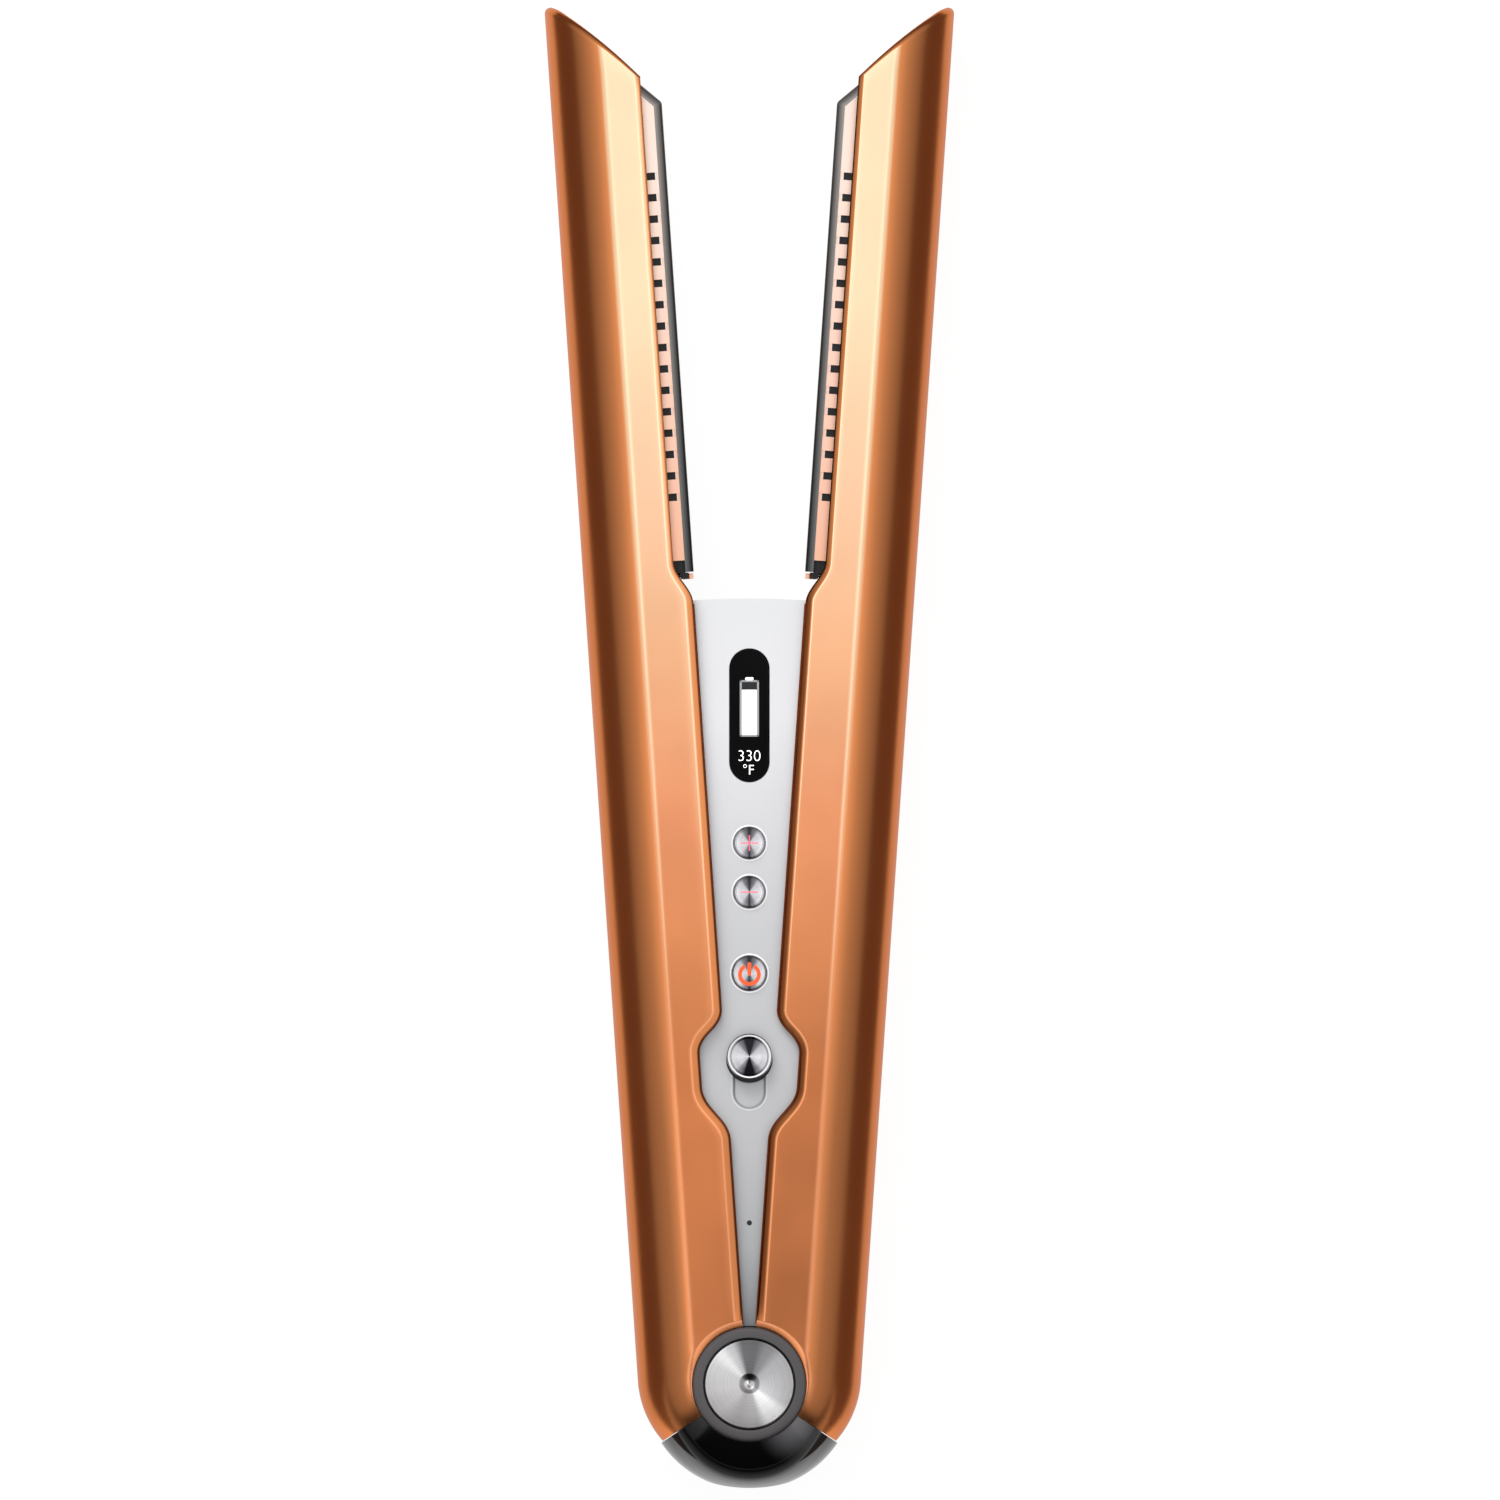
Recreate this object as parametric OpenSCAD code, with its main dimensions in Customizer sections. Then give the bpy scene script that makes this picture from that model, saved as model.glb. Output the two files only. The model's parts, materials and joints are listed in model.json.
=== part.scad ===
// Cordless flat iron: two copper shell arms on one hinge, either side of a flat
// control body that holds the battery, the display, the buttons and the lock slider.
// It lies on its back: +Z is up and faces the controls, +Y runs from the hinge to the
// tips, and the hinge axis is the Z axis. The arms are drawn open, as the springs hold them.

/* [Body] */
// Depth of the whole iron, from the back it lies on to the front face
body_depth = 37; // [36:0.5:40]
// Half of the closed width, from the middle to the outside of one arm
arm_half_width = 21.5; // [21:0.25:24]
// Width of the flat front of one arm, from the middle to where its rounding starts
flat_width = 10.8; // [10.4:0.1:11.4]
// Angle that each arm springs open by
open_angle = 3.9; // [3.6:0.1:4.6]
// Thickness of the arm shells
shell_wall = 1.8; // [1.4:0.1:2.2]
// Hinge axis to the upper end of the control body
core_length = 152; // [148:1:170]

/* [Arm outline] */
// Gap that the handle lips leave to the middle when closed
lip_gap = 0.55; // [0.4:0.05:0.9]
// Set-back of the shell lips beside the plates
plate_lip = 3.9; // [3.5:0.1:4.4]
// Length of the curve where the lip steps back to the plates
lip_step = 9; // [8:0.1:12]
// Rise of the slanted tip from its inner corner to its top
tip_rise = 14.7; // [12:0.1:16]
// Slant of the tip, in degrees
tip_angle = 43.6; // [40:0.2:47]
// Thickness of the tip's end wall
tip_wall = 1; // [0.8:0.05:1.2]
// Radius of the outside of the arm at its hinge end
arm_end_radius = 19.4; // [18.6:0.1:19.8]
// Clearance of the lips from the lock knob when closed
knob_clearance = 1.05; // [0.9:0.05:1.3]
// Seam between the arm ends and the end cap, in degrees
cap_seam = 0.4; // [0.2:0.1:0.8]

/* [Plates] */
// Length of the heating plates
plate_length = 91; // [88:1:98]
// Width of the heating plates
plate_width = 27.6; // [26:0.2:28.4]
// Gap from the control body to the plates
plate_start_gap = 5.6; // [5:0.2:9]
// Thickness of the plate face and its rounded edge
plate_thick = 1.6; // [1.4:0.1:2]
// Gap that each plate leaves to the middle when closed
plate_gap = 0.05; // [0.04:0.01:0.2]
// Number of flexing slots along one side of a plate
slot_count = 16; // [8:1:18]
// Distance from the lower end of a plate to its first slot
first_slot = 14.6; // [12:0.1:16]
// Distance from one flexing slot to the next
slot_pitch = 4.15; // [3.6:0.05:4.4]
// Width of a flexing slot
slot_width = 1.45; // [1:0.05:2]
// Travel of a plate when it is pressed into its arm
plate_travel = 0.4; // [0.2:0.05:0.5]

/* [Control body] */
// Depth that the control panel lies below the front face
panel_recess = 3.4; // [3.2:0.1:3.8]
// Thickness of the front and rear covers
core_wall = 1.8; // [1.6:0.1:2]
// Thickness of the side walls of the covers
side_wall = 1.6; // [1.2:0.1:1.8]
// Half width of the control body at the hinge end
core_foot_half = 11; // [10.9:0.1:11.3]
// Half width of the control body at its upper end
core_top_half = 12.6; // [12.2:0.1:12.8]
// Clearance round parts that are dropped into place
ease = 0.1; // [0.05:0.01:0.15]

/* [Controls] */
// Display centre, from the hinge axis
display_y = 129.4; // [126:0.5:132]
// Width of the display window
display_width = 7.7; // [6.5:0.1:8.4]
// Length of the display window
display_length = 25.8; // [22:0.2:26.5]
// Plus button centre, from the hinge axis
plus_y = 104.7; // [103.5:0.1:106]
// Minus button centre, from the hinge axis
minus_y = 95.2; // [92:0.1:96]
// Power button centre, from the hinge axis
power_y = 79.5; // [79:0.1:84]
// Radius of the plus and minus buttons
step_button_r = 3; // [2.6:0.1:3.3]
// Radius of the power button
power_button_r = 3.3; // [2.8:0.1:3.5]
// Height of the buttons above the panel
button_proud = 0.9; // [0.5:0.05:1]
// Travel of a button
button_travel = 0.5; // [0.3:0.05:0.6]
// Lock knob centre when unlocked, from the hinge axis
lock_y = 63.4; // [62.8:0.1:63.8]
// Travel of the lock knob
lock_travel = 7; // [6.4:0.1:7.2]
// Radius of the lock knob
lock_knob_r = 4.4; // [4:0.1:4.5]
// Status light centre, from the hinge axis
status_y = 31.2; // [28:0.5:40]

/* [Hinge] */
// Radius of the dark ring round the hinge cap
ring_r = 11; // [10.6:0.1:11.1]
// Radius of the spun metal hinge cap
hinge_cap_r = 8.75; // [7.5:0.05:9]
// Radius of the hinge pin
pin_r = 3; // [2.5:0.1:3.4]
// Thickness of each hinge eye
eye_thick = 3; // [2.4:0.1:3.1]
// Radius of the end cap, about the hinge axis
end_cap_r = 20.5; // [20.2:0.1:21]
// Half of the angle that the end cap covers
cap_half_angle = 56.3; // [52:0.1:58]

/* [Charging socket] */
// Radius of the round charging socket
socket_r = 6.5; // [5.5:0.1:6.8]
// Depth of the charging socket
socket_depth = 2; // [1.5:0.1:2.2]

/* [Battery] */
// Thickness of one battery cell
cell_thick = 7.4; // [6.6:0.1:8.4]
// Length of one battery cell
cell_length = 50; // [44:0.5:58]
// Width of one battery cell
cell_width = 18; // [16:0.2:18.4]

/* [Hidden] */
$fn = 64;

copper = "#c97a4a";
light_grey = "#d4d5d8";
dark_grey = "#4a4a4c";
black = "#141416";
steel = "#b9bbbe";
plate_copper = "#e8b09c";
gunmetal = "#2c2b30";
board_green = "#24513a";
cell_blue = "#3c5f8c";

mid_z = body_depth / 2;
far = 400;                      // longer than any part, for through cuts
arc_steps = 24;                 // chords in each elliptical side of the arm section

// control body levels
panel_z = body_depth - panel_recess;
panel_in_z = panel_z - core_wall;
back_z = panel_recess;
back_in_z = back_z + core_wall;
core_start = 14;                // where the side walls begin
core_corner = 1.5;              // corner radius at the upper end
core_sag = 0.45;                // crown of the upper end
hub_r = ring_r + 0.2;           // disc under the hinge ring
neck_half = 9;                  // neck between the disc and the side walls

// hinge stack, the same from both faces inwards
hub_plate = 2.5;
eye_gap = 0.3;
eye_r = 8.5;
washer_thick = 0.2;
washer_r = 7;
running_clearance = 0.05;
bore_r = pin_r + running_clearance;
eye_step = eye_thick + eye_gap;
spring_r = 7;
spring_wire_r = 0.5;
spring_pitch = 1.3;
spring_leg_y = 13;

// arm
side_radius = arm_half_width - flat_width;      // across, of the elliptical side
arc_x = arm_half_width - arm_end_radius;        // centre of the arm's rounded hinge end
arc_y = 2;
plate_start = core_length + plate_start_gap;
plate_end = plate_start + plate_length;
tip_margin = 5.3;
tip_lip_y = plate_end + tip_margin;
arm_reach = tip_lip_y + tip_rise;
tip_slope = tan(tip_angle);
tip_wall_y = tip_wall / cos(tip_angle);
tip_round = 5;
lip_step_top = core_length + 8.1;
ring_clearance = 0.25;
arm_cut_angle = 90 - cap_half_angle - open_angle - cap_seam;

// spine of each arm
spine_x = core_top_half + 0.8;
spine_thick = 3;
spine_half = mid_z - back_in_z - hub_plate - eye_gap;
spine_foot = -4;
spine_end = tip_lip_y + (spine_x - plate_lip) * tip_slope - tip_wall_y - 1.5;
shell_screw_y = [35, 110, plate_start + plate_length / 2];
boss_r = 2.2;
screw_r = 0.9;

// plate stack, out from the middle
flex_x = plate_gap + plate_thick;
flex_thick = 0.6;
flange_thick = 0.8;
flange_depth = 4.4;
plate_edge_r = plate_thick * 0.95;
face_end_x = plate_lip - plate_travel - 0.05;
heater_thick = 1;
heater_start = plate_start + 7;
heater_end = plate_end - 6;
heater_half = plate_width / 2 - 3.8;
carrier_x = flex_x + flex_thick + ease / 2;
carrier_floor_x = carrier_x + heater_thick + ease;
carrier_floor = 1.25;
carrier_back_x = carrier_x + 5.3;
surround_x = 4.6;
surround_thick = 2;
surround_clearance = 0.3;
flange_half = plate_width / 2 - 0.2;
carrier_half = flange_half - flange_thick - ease;
tail_half = 5;                  // of the tongue that ends in the flexing plate's tab
tail_y = plate_start - 1.4;
tab_depth = 0.8;
guide_y = plate_start - 0.55;
guide_z = carrier_half - 1.7;   // above and below the middle
guide_r = 0.45;

// boards
board_drop = 4.6;               // from the inside of the panel to the board
board_z = panel_in_z - board_drop;
board_thick = 1.2;
board_half = 7.5;
deck_thick = 1.2;
cell_z = back_in_z + 2 * ease;
deck_z = cell_z + 2 * cell_thick + 4 * ease;
deck_end = core_length - 4;
cell_gap = 2;                   // between two cells in a row, for the bulkhead
cell_y = [core_start + 3, core_start + 3 + cell_length + cell_gap];
cells_end = cell_y[1] + cell_length;
post_x = 5;
post_y = core_length - 7;
post_r = 2.2;
board_start = 20;
board_end = post_y - post_r - 0.6;
rest_r = 1.1;                   // of the rests under the control board
rest_inset = 1.2;
switch_height = 2.5;
switch_half = 2.5;
plunger_r = 1.2;
plunger_height = 0.5;
module_border = 0.4;            // of the display module round the window
module_face_inset = 2.5;        // from the end of the window to the lit face
flange_lip = 0.7;               // how far a button's hidden flange reaches past its cap
flange_top = panel_in_z - ease;
flange_bottom = flange_top - 0.6;

// lock
carriage_z = panel_z - 2;
carriage_top = panel_z - 1;
carriage_half = 5;
peg_in = 7.3;
peg_out = 8.9;
peg_y = lock_y + 7.6;
peg_length = 3;
slot_half = 3.25;
slot_low_y = lock_y - lock_travel - slot_half;
carriage_low_y = slot_low_y - 1.5;
carriage_high_y = peg_y + peg_length + 1;
hook_z = board_z + 1.2;
hook_thick = 2;
prong_in = peg_in - 1.7;
prong_thick = 1.4;
prong_y = peg_y - lock_travel - 0.3;
prong_length = 2.9;
hook_bar = 3.2;

// socket
socket_face_y = -(end_cap_r - 1.6);
socket_floor_y = socket_face_y + socket_depth;
socket_base_thick = 1.7;
socket_wall = 1.1;
socket_step = 0.4;
socket_back_y = socket_floor_y + socket_base_thick;
magnet_thick = 2.4;
charge_board_thick = 1;
socket_tube_r = socket_r + socket_wall + ease / 2;

// ---------------------------------------------------------------- shared shapes

// Unit vector along v
function unit(v) = v / norm(v);

// Points of a fillet of radius r at corner b of the path a-b-c
function fillet(a, b, c, r, n = 5) =
    let (u = unit(a - b), w = unit(c - b),
         half = acos(u * w) / 2,
         o = b + unit(u + w) * r / sin(half),
         s = b + u * r / tan(half) - o,
         e = b + w * r / tan(half) - o,
         s_angle = atan2(s[1], s[0]),
         turn = atan2(s[0] * e[1] - s[1] * e[0], s * e))
    [for (i = [0:n]) o + r * [cos(s_angle + turn * i / n), sin(s_angle + turn * i / n)]];

// A closed outline whose corners p have the radii r, or stay sharp where r is 0
function rounded(p, r) =
    let (n = len(p))
    [for (i = [0:n - 1]) each r[i] > 0 ? fillet(p[(i + n - 1) % n], p[i], p[(i + 1) % n], r[i]) : [p[i]]];

// A centred rectangle w by h with corner radius r
function rounded_rectangle(w, h, r) =
    rounded([[-w, -h], [w, -h], [w, h], [-w, h]] / 2, [r, r, r, r]);

// An obround hole or bar along Y, of half width r, whose arcs are centred on y0 and y1
module obround(r, y0, y1) {
    translate([0, y0]) circle(r);
    translate([0, y1]) circle(r);
    translate([-r, y0]) square([2 * r, y1 - y0]);
}

// A pie slice of radius r about -Y, reaching half_angle to both sides
function pie(r, half_angle) =
    concat([[0, 0]], [for (i = [-6:6]) r * [sin(half_angle * i / 6), -cos(half_angle * i / 6)]]);

// Right-hand side of the body's section, taken in by t: flat faces and an elliptical side,
// from x0 outwards, with every x lessened by x_shift
function body_section(x0, t, x_shift = 0) =
    concat(
        [[x0, body_depth - t]],
        [for (i = [0:arc_steps]) let (a = 90 - 180 * i / arc_steps)
            [flat_width - x_shift + (side_radius - t) * cos(a), mid_z + (mid_z - t) * sin(a)]],
        [[x0, t]]);

// Extrudes an X-Z outline along Y from y0 to y1
module along_y(y0, y1) {
    translate([0, y1, 0]) rotate([90, 0, 0]) linear_extrude(y1 - y0) children();
}

// A round bar or hole along X from x0 to x1 at y, z
module along_x(x0, x1, y, z, r) {
    translate([x0, y, z]) rotate([0, 90, 0]) cylinder(r = r, h = x1 - x0);
}

// A box from its lowest to its highest corner
module block(a, b) {
    translate(a) cube(b - a);
}

// A wire of radius r swept along a path of points, with flat ends
module wire(path, r, sides = 6) {
    n = len(path);
    tangent = [for (i = [0:n - 1]) unit(path[min(i + 1, n - 1)] - path[max(i - 1, 0)])];
    ring = [for (i = [0:n - 1])
        let (t = tangent[i],
             side = unit(cross(t, abs(t[2]) < 0.9 ? [0, 0, 1] : [0, 1, 0])),
             up = cross(side, t))
        each [for (k = [0:sides - 1])
            path[i] + r * (side * cos(360 * k / sides) + up * sin(360 * k / sides))]];
    walls = [for (i = [0:n - 2]) each [for (k = [0:sides - 1])
        let (j = (k + 1) % sides)
        each [[i * sides + k, (i + 1) * sides + k, i * sides + j],
              [i * sides + j, (i + 1) * sides + k, (i + 1) * sides + j]]]];
    caps = [[for (k = [0:sides - 1]) k], [for (k = [0:sides - 1]) n * sides - 1 - k]];
    polyhedron(points = ring, faces = concat(walls, caps));
}

// Puts what is drawn in arm space (x out from the middle, y along the closed arm) on the
// right arm (side 1) or the left arm (side -1), open by open_angle
module on_arm(side) {
    mirror([side < 0 ? 1 : 0, 0, 0]) rotate([0, 0, -open_angle]) children();
}

// ---------------------------------------------------------------- control body

// Half width of the control body at y
function core_half(y) =
    core_foot_half + (core_top_half - core_foot_half) * (y - core_start) / (core_length - core_start);

// Outline of the control body above y0, taken in by inset
function core_outline(inset, y0) =
    let (h = core_half(core_length) - inset, top = core_length - inset)
    rounded(
        concat([[-(core_half(y0) - inset), y0], [core_half(y0) - inset, y0]],
               [[h, top - core_sag]],
               [for (x = [0.7:-0.35:-0.71]) [x * h, top - core_sag * x * x]],
               [[-h, top - core_sag]]),
        [0, 0, core_corner, 0, 0, 0, 0, 0, core_corner]);

// Plate of a cover: the body's outline, its neck and the disc round the hinge
module cover_plate() {
    difference() {
        union() {
            polygon(core_outline(0, core_start));
            translate([-neck_half, 0]) square([2 * neck_half, core_start + 1]);
            circle(hub_r);
        }
        polygon(pie(2 * hub_r, cap_half_angle));
        circle(bore_r);
    }
}

// Side walls of a cover between two heights
module cover_walls(z0, z1) {
    translate([0, 0, z0]) linear_extrude(z1 - z0) difference() {
        polygon(core_outline(0, core_start));
        polygon(core_outline(side_wall, core_start - 1));
    }
}

module front_fascia() {
    color(light_grey) difference() {
        union() {
            translate([0, 0, panel_in_z]) linear_extrude(core_wall) cover_plate();
            cover_walls(mid_z + ease / 2, panel_in_z + core_wall / 2);
            for (x = [-post_x, post_x])
                translate([x, post_y, deck_z + deck_thick])
                    cylinder(r = post_r, h = panel_in_z - deck_z - deck_thick + core_wall / 2);
        }
        // display window with a ledge for the lens
        translate([0, 0, panel_in_z - 1]) linear_extrude(core_wall + 2)
            display_outline(-0.75);
        translate([0, 0, panel_z - 0.8]) linear_extrude(2) display_outline(ease);
        // buttons
        for (b = buttons)
            translate([0, b[0], panel_in_z - 1]) cylinder(r = b[1] + ease, h = core_wall + 2);
        translate([0, status_y, panel_in_z - 1]) cylinder(r = 0.5, h = core_wall + 2);
        // lock slot, the carriage's pocket behind it and the pocket of its wings
        translate([0, 0, panel_in_z - 1]) linear_extrude(core_wall + 2)
            obround(slot_half, slot_low_y + slot_half, lock_y);
        block([-carriage_half - ease * 2, carriage_low_y - lock_travel - 2 * ease, panel_in_z - 1],
              [carriage_half + ease * 2, carriage_high_y + 2 * ease, carriage_top + ease / 2]);
        block([-peg_out - ease * 2, peg_y - lock_travel - 2 * ease, panel_in_z - 1],
              [peg_out + ease * 2, peg_y + peg_length + 2 * ease, carriage_top + ease / 2]);
        // windows that the latch hooks reach through
        block([-far / 2, prong_y - hook_bar - 2.6, hook_z - 0.6],
              [far / 2, prong_y + prong_length + 1.4, hook_z + hook_thick + 0.6]);
        for (x = [-post_x, post_x])
            translate([x, post_y, deck_z]) cylinder(r = screw_r, h = 5.5);
    }
}

module rear_cover() {
    color(light_grey) difference() {
        union() {
            translate([0, 0, back_z]) linear_extrude(core_wall) cover_plate();
            cover_walls(back_z + core_wall / 2, mid_z - ease / 2);
        }
        for (p = case_screw_points) translate([p[0], p[1], back_z]) {
            translate([0, 0, -1]) cylinder(r = 1.05, h = core_wall + 2);
            translate([0, 0, -1]) cylinder(r = 1.95, h = 2);
        }
    }
}

// Frame that the covers, the battery, the boards and the hinge pin are fixed to
module core_chassis() {
    color(dark_grey) difference() {
        union() {
            for (z = [back_in_z, panel_in_z - hub_plate])
                translate([0, 0, z]) linear_extrude(hub_plate) {
                    circle(hub_r);
                    translate([-neck_half + ease, 0]) square([2 * (neck_half - ease), core_start - 1]);
                }
            block([-neck_half + ease, core_start - 1.4, back_in_z],
                  [neck_half - ease, core_start + 2, panel_in_z]);
            block([-neck_half + ease, core_start, deck_z], [neck_half - ease, deck_end, deck_z + deck_thick]);
            // bulkheads between and behind the cells
            block([-neck_half + ease, cell_y[1] - cell_gap + ease, back_in_z],
                  [neck_half - ease, cell_y[1] - ease, deck_z + deck_thick / 2]);
            block([-neck_half + ease, cells_end + 2 * ease, back_in_z],
                  [neck_half - ease, cells_end + 1.2, deck_z + deck_thick / 2]);
            for (x = [-post_x, post_x])
                translate([x, post_y, back_in_z]) cylinder(r = post_r, h = deck_z - back_in_z + deck_thick / 2);
            // rests for the control board
            for (x = [-1, 1] * (board_half - rest_inset),
                 y = [board_start + 2, (board_start + board_end) / 2, board_end - 2])
                translate([x, y, deck_z + deck_thick / 2])
                    cylinder(r = rest_r, h = board_z - board_thick - deck_z - deck_thick / 2);
        }
        translate([0, 0, -1]) cylinder(r = pin_r + 0.01, h = body_depth + 2);
        for (p = case_screw_points) translate([p[0], p[1], back_in_z - 1])
            cylinder(r = screw_r, h = case_screw_length + 1);
    }
}

case_screw_points = [[-6.5, core_start + 0.3], [6.5, core_start + 0.3], [-post_x, post_y], [post_x, post_y]];
case_screw_length = deck_z - back_in_z + 5;

module case_screws() {
    color(steel) for (p = case_screw_points) translate([p[0], p[1], back_z + 0.2]) {
        difference() {
            cylinder(r = 1.8, h = 0.8);
            translate([0, 0, -0.1]) cylinder(r = 0.75, h = 0.6, $fn = 6);
        }
        translate([0, 0, 0.8]) cylinder(r = screw_r - 0.02, h = case_screw_length);
    }
}

// Side of the end cap, between radius r0 and the outside taken in by t, for rotate_extrude
function cap_profile(r0, cx, a, b, wall) =
    let (s = 19, top = acos((r0 - cx) / a), in_top = acos((r0 - cx) / (a - wall)))
    concat(
        [for (i = [0:s]) let (q = top - 2 * top * i / s) [cx + a * cos(q), mid_z + b * sin(q)]],
        [for (i = [0:s]) let (q = -in_top + 2 * in_top * i / s)
            [cx + (a - wall) * cos(q), mid_z + (b - wall) * sin(q)]]);

cap_wall = 2;
cap_web_r = 15;                 // of the webs that join the cap's outside to its skirt
skirt_wall = 1.6;
skirt_extra = 5;                // degrees that the skirt reaches past the cap on both sides

// Black end cap between the arm ends, with a skirt that stays behind the arms as they close
module end_cap() {
    color(black) difference() {
        union() {
            rotate([0, 0, -90 - cap_half_angle]) rotate_extrude(angle = 2 * cap_half_angle)
                polygon(cap_profile(ring_r + 0.2, flat_width, end_cap_r - flat_width, mid_z, cap_wall));
            rotate([0, 0, -90 - cap_half_angle - skirt_extra])
                rotate_extrude(angle = 2 * (cap_half_angle + skirt_extra))
                polygon(cap_profile(ring_r + 0.4, 8.2, 8.6, mid_z - 2.7, skirt_wall));
            for (z = [back_z, panel_in_z])
                translate([0, 0, z]) linear_extrude(core_wall) intersection() {
                    circle(cap_web_r);
                    polygon(pie(2 * cap_web_r, cap_half_angle - 1));
                }
            translate([0, socket_face_y + 1.2, mid_z]) rotate([-90, 0, 0])
                cylinder(r = socket_tube_r + 1.5, h = socket_back_y + magnet_thick + 1.5 - socket_face_y - 1.2);
        }
        translate([0, 0, -1]) cylinder(r = bore_r, h = body_depth + 2);
        translate([0, -far / 2, mid_z]) rotate([-90, 0, 0]) cylinder(r = socket_tube_r, h = far / 2 - 5);
    }
}

// ---------------------------------------------------------------- display and controls

// Outline of the display window, grown by g
module display_outline(g) {
    reach = display_length / 2 - display_width / 2;
    obround(display_width / 2 + g, display_y - reach, display_y + reach);
}

module display_lens() {
    color(black) translate([0, 0, panel_z - 0.8]) linear_extrude(0.75) display_outline(0);
}

module display_module() {
    color(dark_grey) {
        for (s = [[display_width / 2 + module_border, -module_border, board_z, panel_in_z - ease],
                  [display_width / 3, module_face_inset, panel_in_z - ease, panel_z - 0.8]])
            block([-s[0], display_y - display_length / 2 + s[1], s[2]],
                  [s[0], display_y + display_length / 2 - s[1], s[3]]);
    }
}

module control_board() {
    color(board_green)
        block([-board_half, board_start, board_z - board_thick], [board_half, board_end, board_z]);
}

// centre and radius of each push button
buttons = [[plus_y, step_button_r], [minus_y, step_button_r], [power_y, power_button_r]];

module tact_switches() {
    color(dark_grey) for (b = buttons) {
        block([-switch_half, b[0] - switch_half, board_z],
              [switch_half, b[0] + switch_half, board_z + switch_height - plunger_height]);
        translate([0, b[0], board_z + switch_height - plunger_height])
            cylinder(r = plunger_r, h = plunger_height);
    }
}

// Push button: a slightly dished cap, a hidden flange that keeps it in, and a stem
module push_button(y, r) {
    top = panel_z + button_proud;
    stem_z = board_z + switch_height + button_travel + 0.05;
    color(steel) translate([0, y, 0]) rotate_extrude() polygon([
        [0, stem_z], [plunger_r, stem_z], [plunger_r, flange_bottom], [r + flange_lip, flange_bottom],
        [r + flange_lip, flange_top], [r, flange_top], [r, top - 0.25], [r - 0.3, top],
        [r * 0.5, top - 0.12], [0, top - 0.16]]);
}

module status_light() {
    color("white") translate([0, status_y, 0]) {
        translate([0, 0, board_z]) cylinder(r = 0.9, h = panel_in_z - ease - board_z);
        translate([0, 0, panel_in_z - ease]) cylinder(r = 0.42, h = core_wall);
    }
}

// ---------------------------------------------------------------- lock

module lock_knob() {
    color(steel) translate([0, lock_y, 0]) rotate_extrude() polygon([
        [0, carriage_top], [2, carriage_top], [2, panel_z + 0.4], [lock_knob_r - 0.3, panel_z + 0.4],
        [lock_knob_r, panel_z + 0.8], [lock_knob_r, body_depth - 0.6], [lock_knob_r - 0.4, body_depth - 0.2],
        [lock_knob_r * 0.5, body_depth - 0.5], [0, body_depth - 0.6]]);
}

// Slide behind the panel: its plate is the floor of the slot, its pegs hold the latch hooks
module lock_carriage() {
    color(light_grey) {
        block([-carriage_half, carriage_low_y, carriage_z], [carriage_half, carriage_high_y, carriage_top]);
        for (x = [0, 1]) mirror([x, 0, 0]) {
            block([carriage_half, peg_y, carriage_z], [peg_out, peg_y + peg_length, carriage_top]);
            block([peg_in, peg_y, hook_z - 0.2], [peg_out, peg_y + peg_length, carriage_z]);
        }
    }
}

// Keeper plate that holds the slide up against the panel
module lock_retainer() {
    y0 = carriage_low_y - lock_travel + 2;
    y1 = prong_y - hook_bar - 3.5;
    color(dark_grey) {
        block([-carriage_half - 2, y0, carriage_z - 0.75], [carriage_half + 2, y1, carriage_z - ease / 2]);
        for (x = [0, 1]) mirror([x, 0, 0])
            block([carriage_half + 0.4, y0, carriage_z - ease / 2], [carriage_half + 2, y1, panel_in_z]);
    }
}

// ---------------------------------------------------------------- battery

module battery_cell(i) {
    y = cell_y[i % 2];
    z = cell_z + floor(i / 2) * (cell_thick + 2 * ease);
    color(cell_blue) translate([0, y, z + cell_thick / 2]) translate([0, cell_length, 0])
        rotate([90, 0, 0]) linear_extrude(cell_length)
            polygon(rounded_rectangle(cell_width, cell_thick, 1.2));
}

// Nickel tabs that join the cells at their upper ends
module battery_tabs() {
    color(steel) for (x = [-5, 5])
        block([x - 1.5, cells_end, cell_z + cell_thick / 2],
              [x + 1.5, cells_end + 0.15, cell_z + cell_thick * 1.5]);
}

// ---------------------------------------------------------------- hinge

// Lower heights of one arm's two eyes; the left arm's lie inside the right arm's
function eye_levels(side) =
    let (in = side > 0 ? 0 : eye_step, z = back_in_z + hub_plate + eye_gap + in)
    [z, body_depth - z - eye_thick];

module hinge_pin() {
    color(steel) difference() {
        translate([0, 0, back_z + 0.1]) cylinder(r = pin_r, h = panel_z - back_z - 0.2);
        for (z = [back_z, panel_z - 3]) translate([0, 0, z]) cylinder(r = 1.25, h = 3);
    }
}

module hinge_spacer() {
    z0 = eye_levels(-1)[0] + eye_thick + eye_gap;
    color(steel) translate([0, 0, z0]) difference() {
        cylinder(r = 5.6, h = body_depth - 2 * z0);
        translate([0, 0, -1]) cylinder(r = bore_r, h = body_depth);
    }
}

// Thin washers in the gaps between the eyes
module thrust_washers() {
    color("white") for (i = [0:2], z = [back_in_z + hub_plate, body_depth - back_in_z - hub_plate - eye_gap])
        translate([0, 0, (z < mid_z ? z + i * eye_step : z - i * eye_step) + (eye_gap - washer_thick) / 2])
            difference() {
                cylinder(r = washer_r, h = washer_thick);
                translate([0, 0, -1]) cylinder(r = bore_r, h = 3);
            }
}

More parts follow.
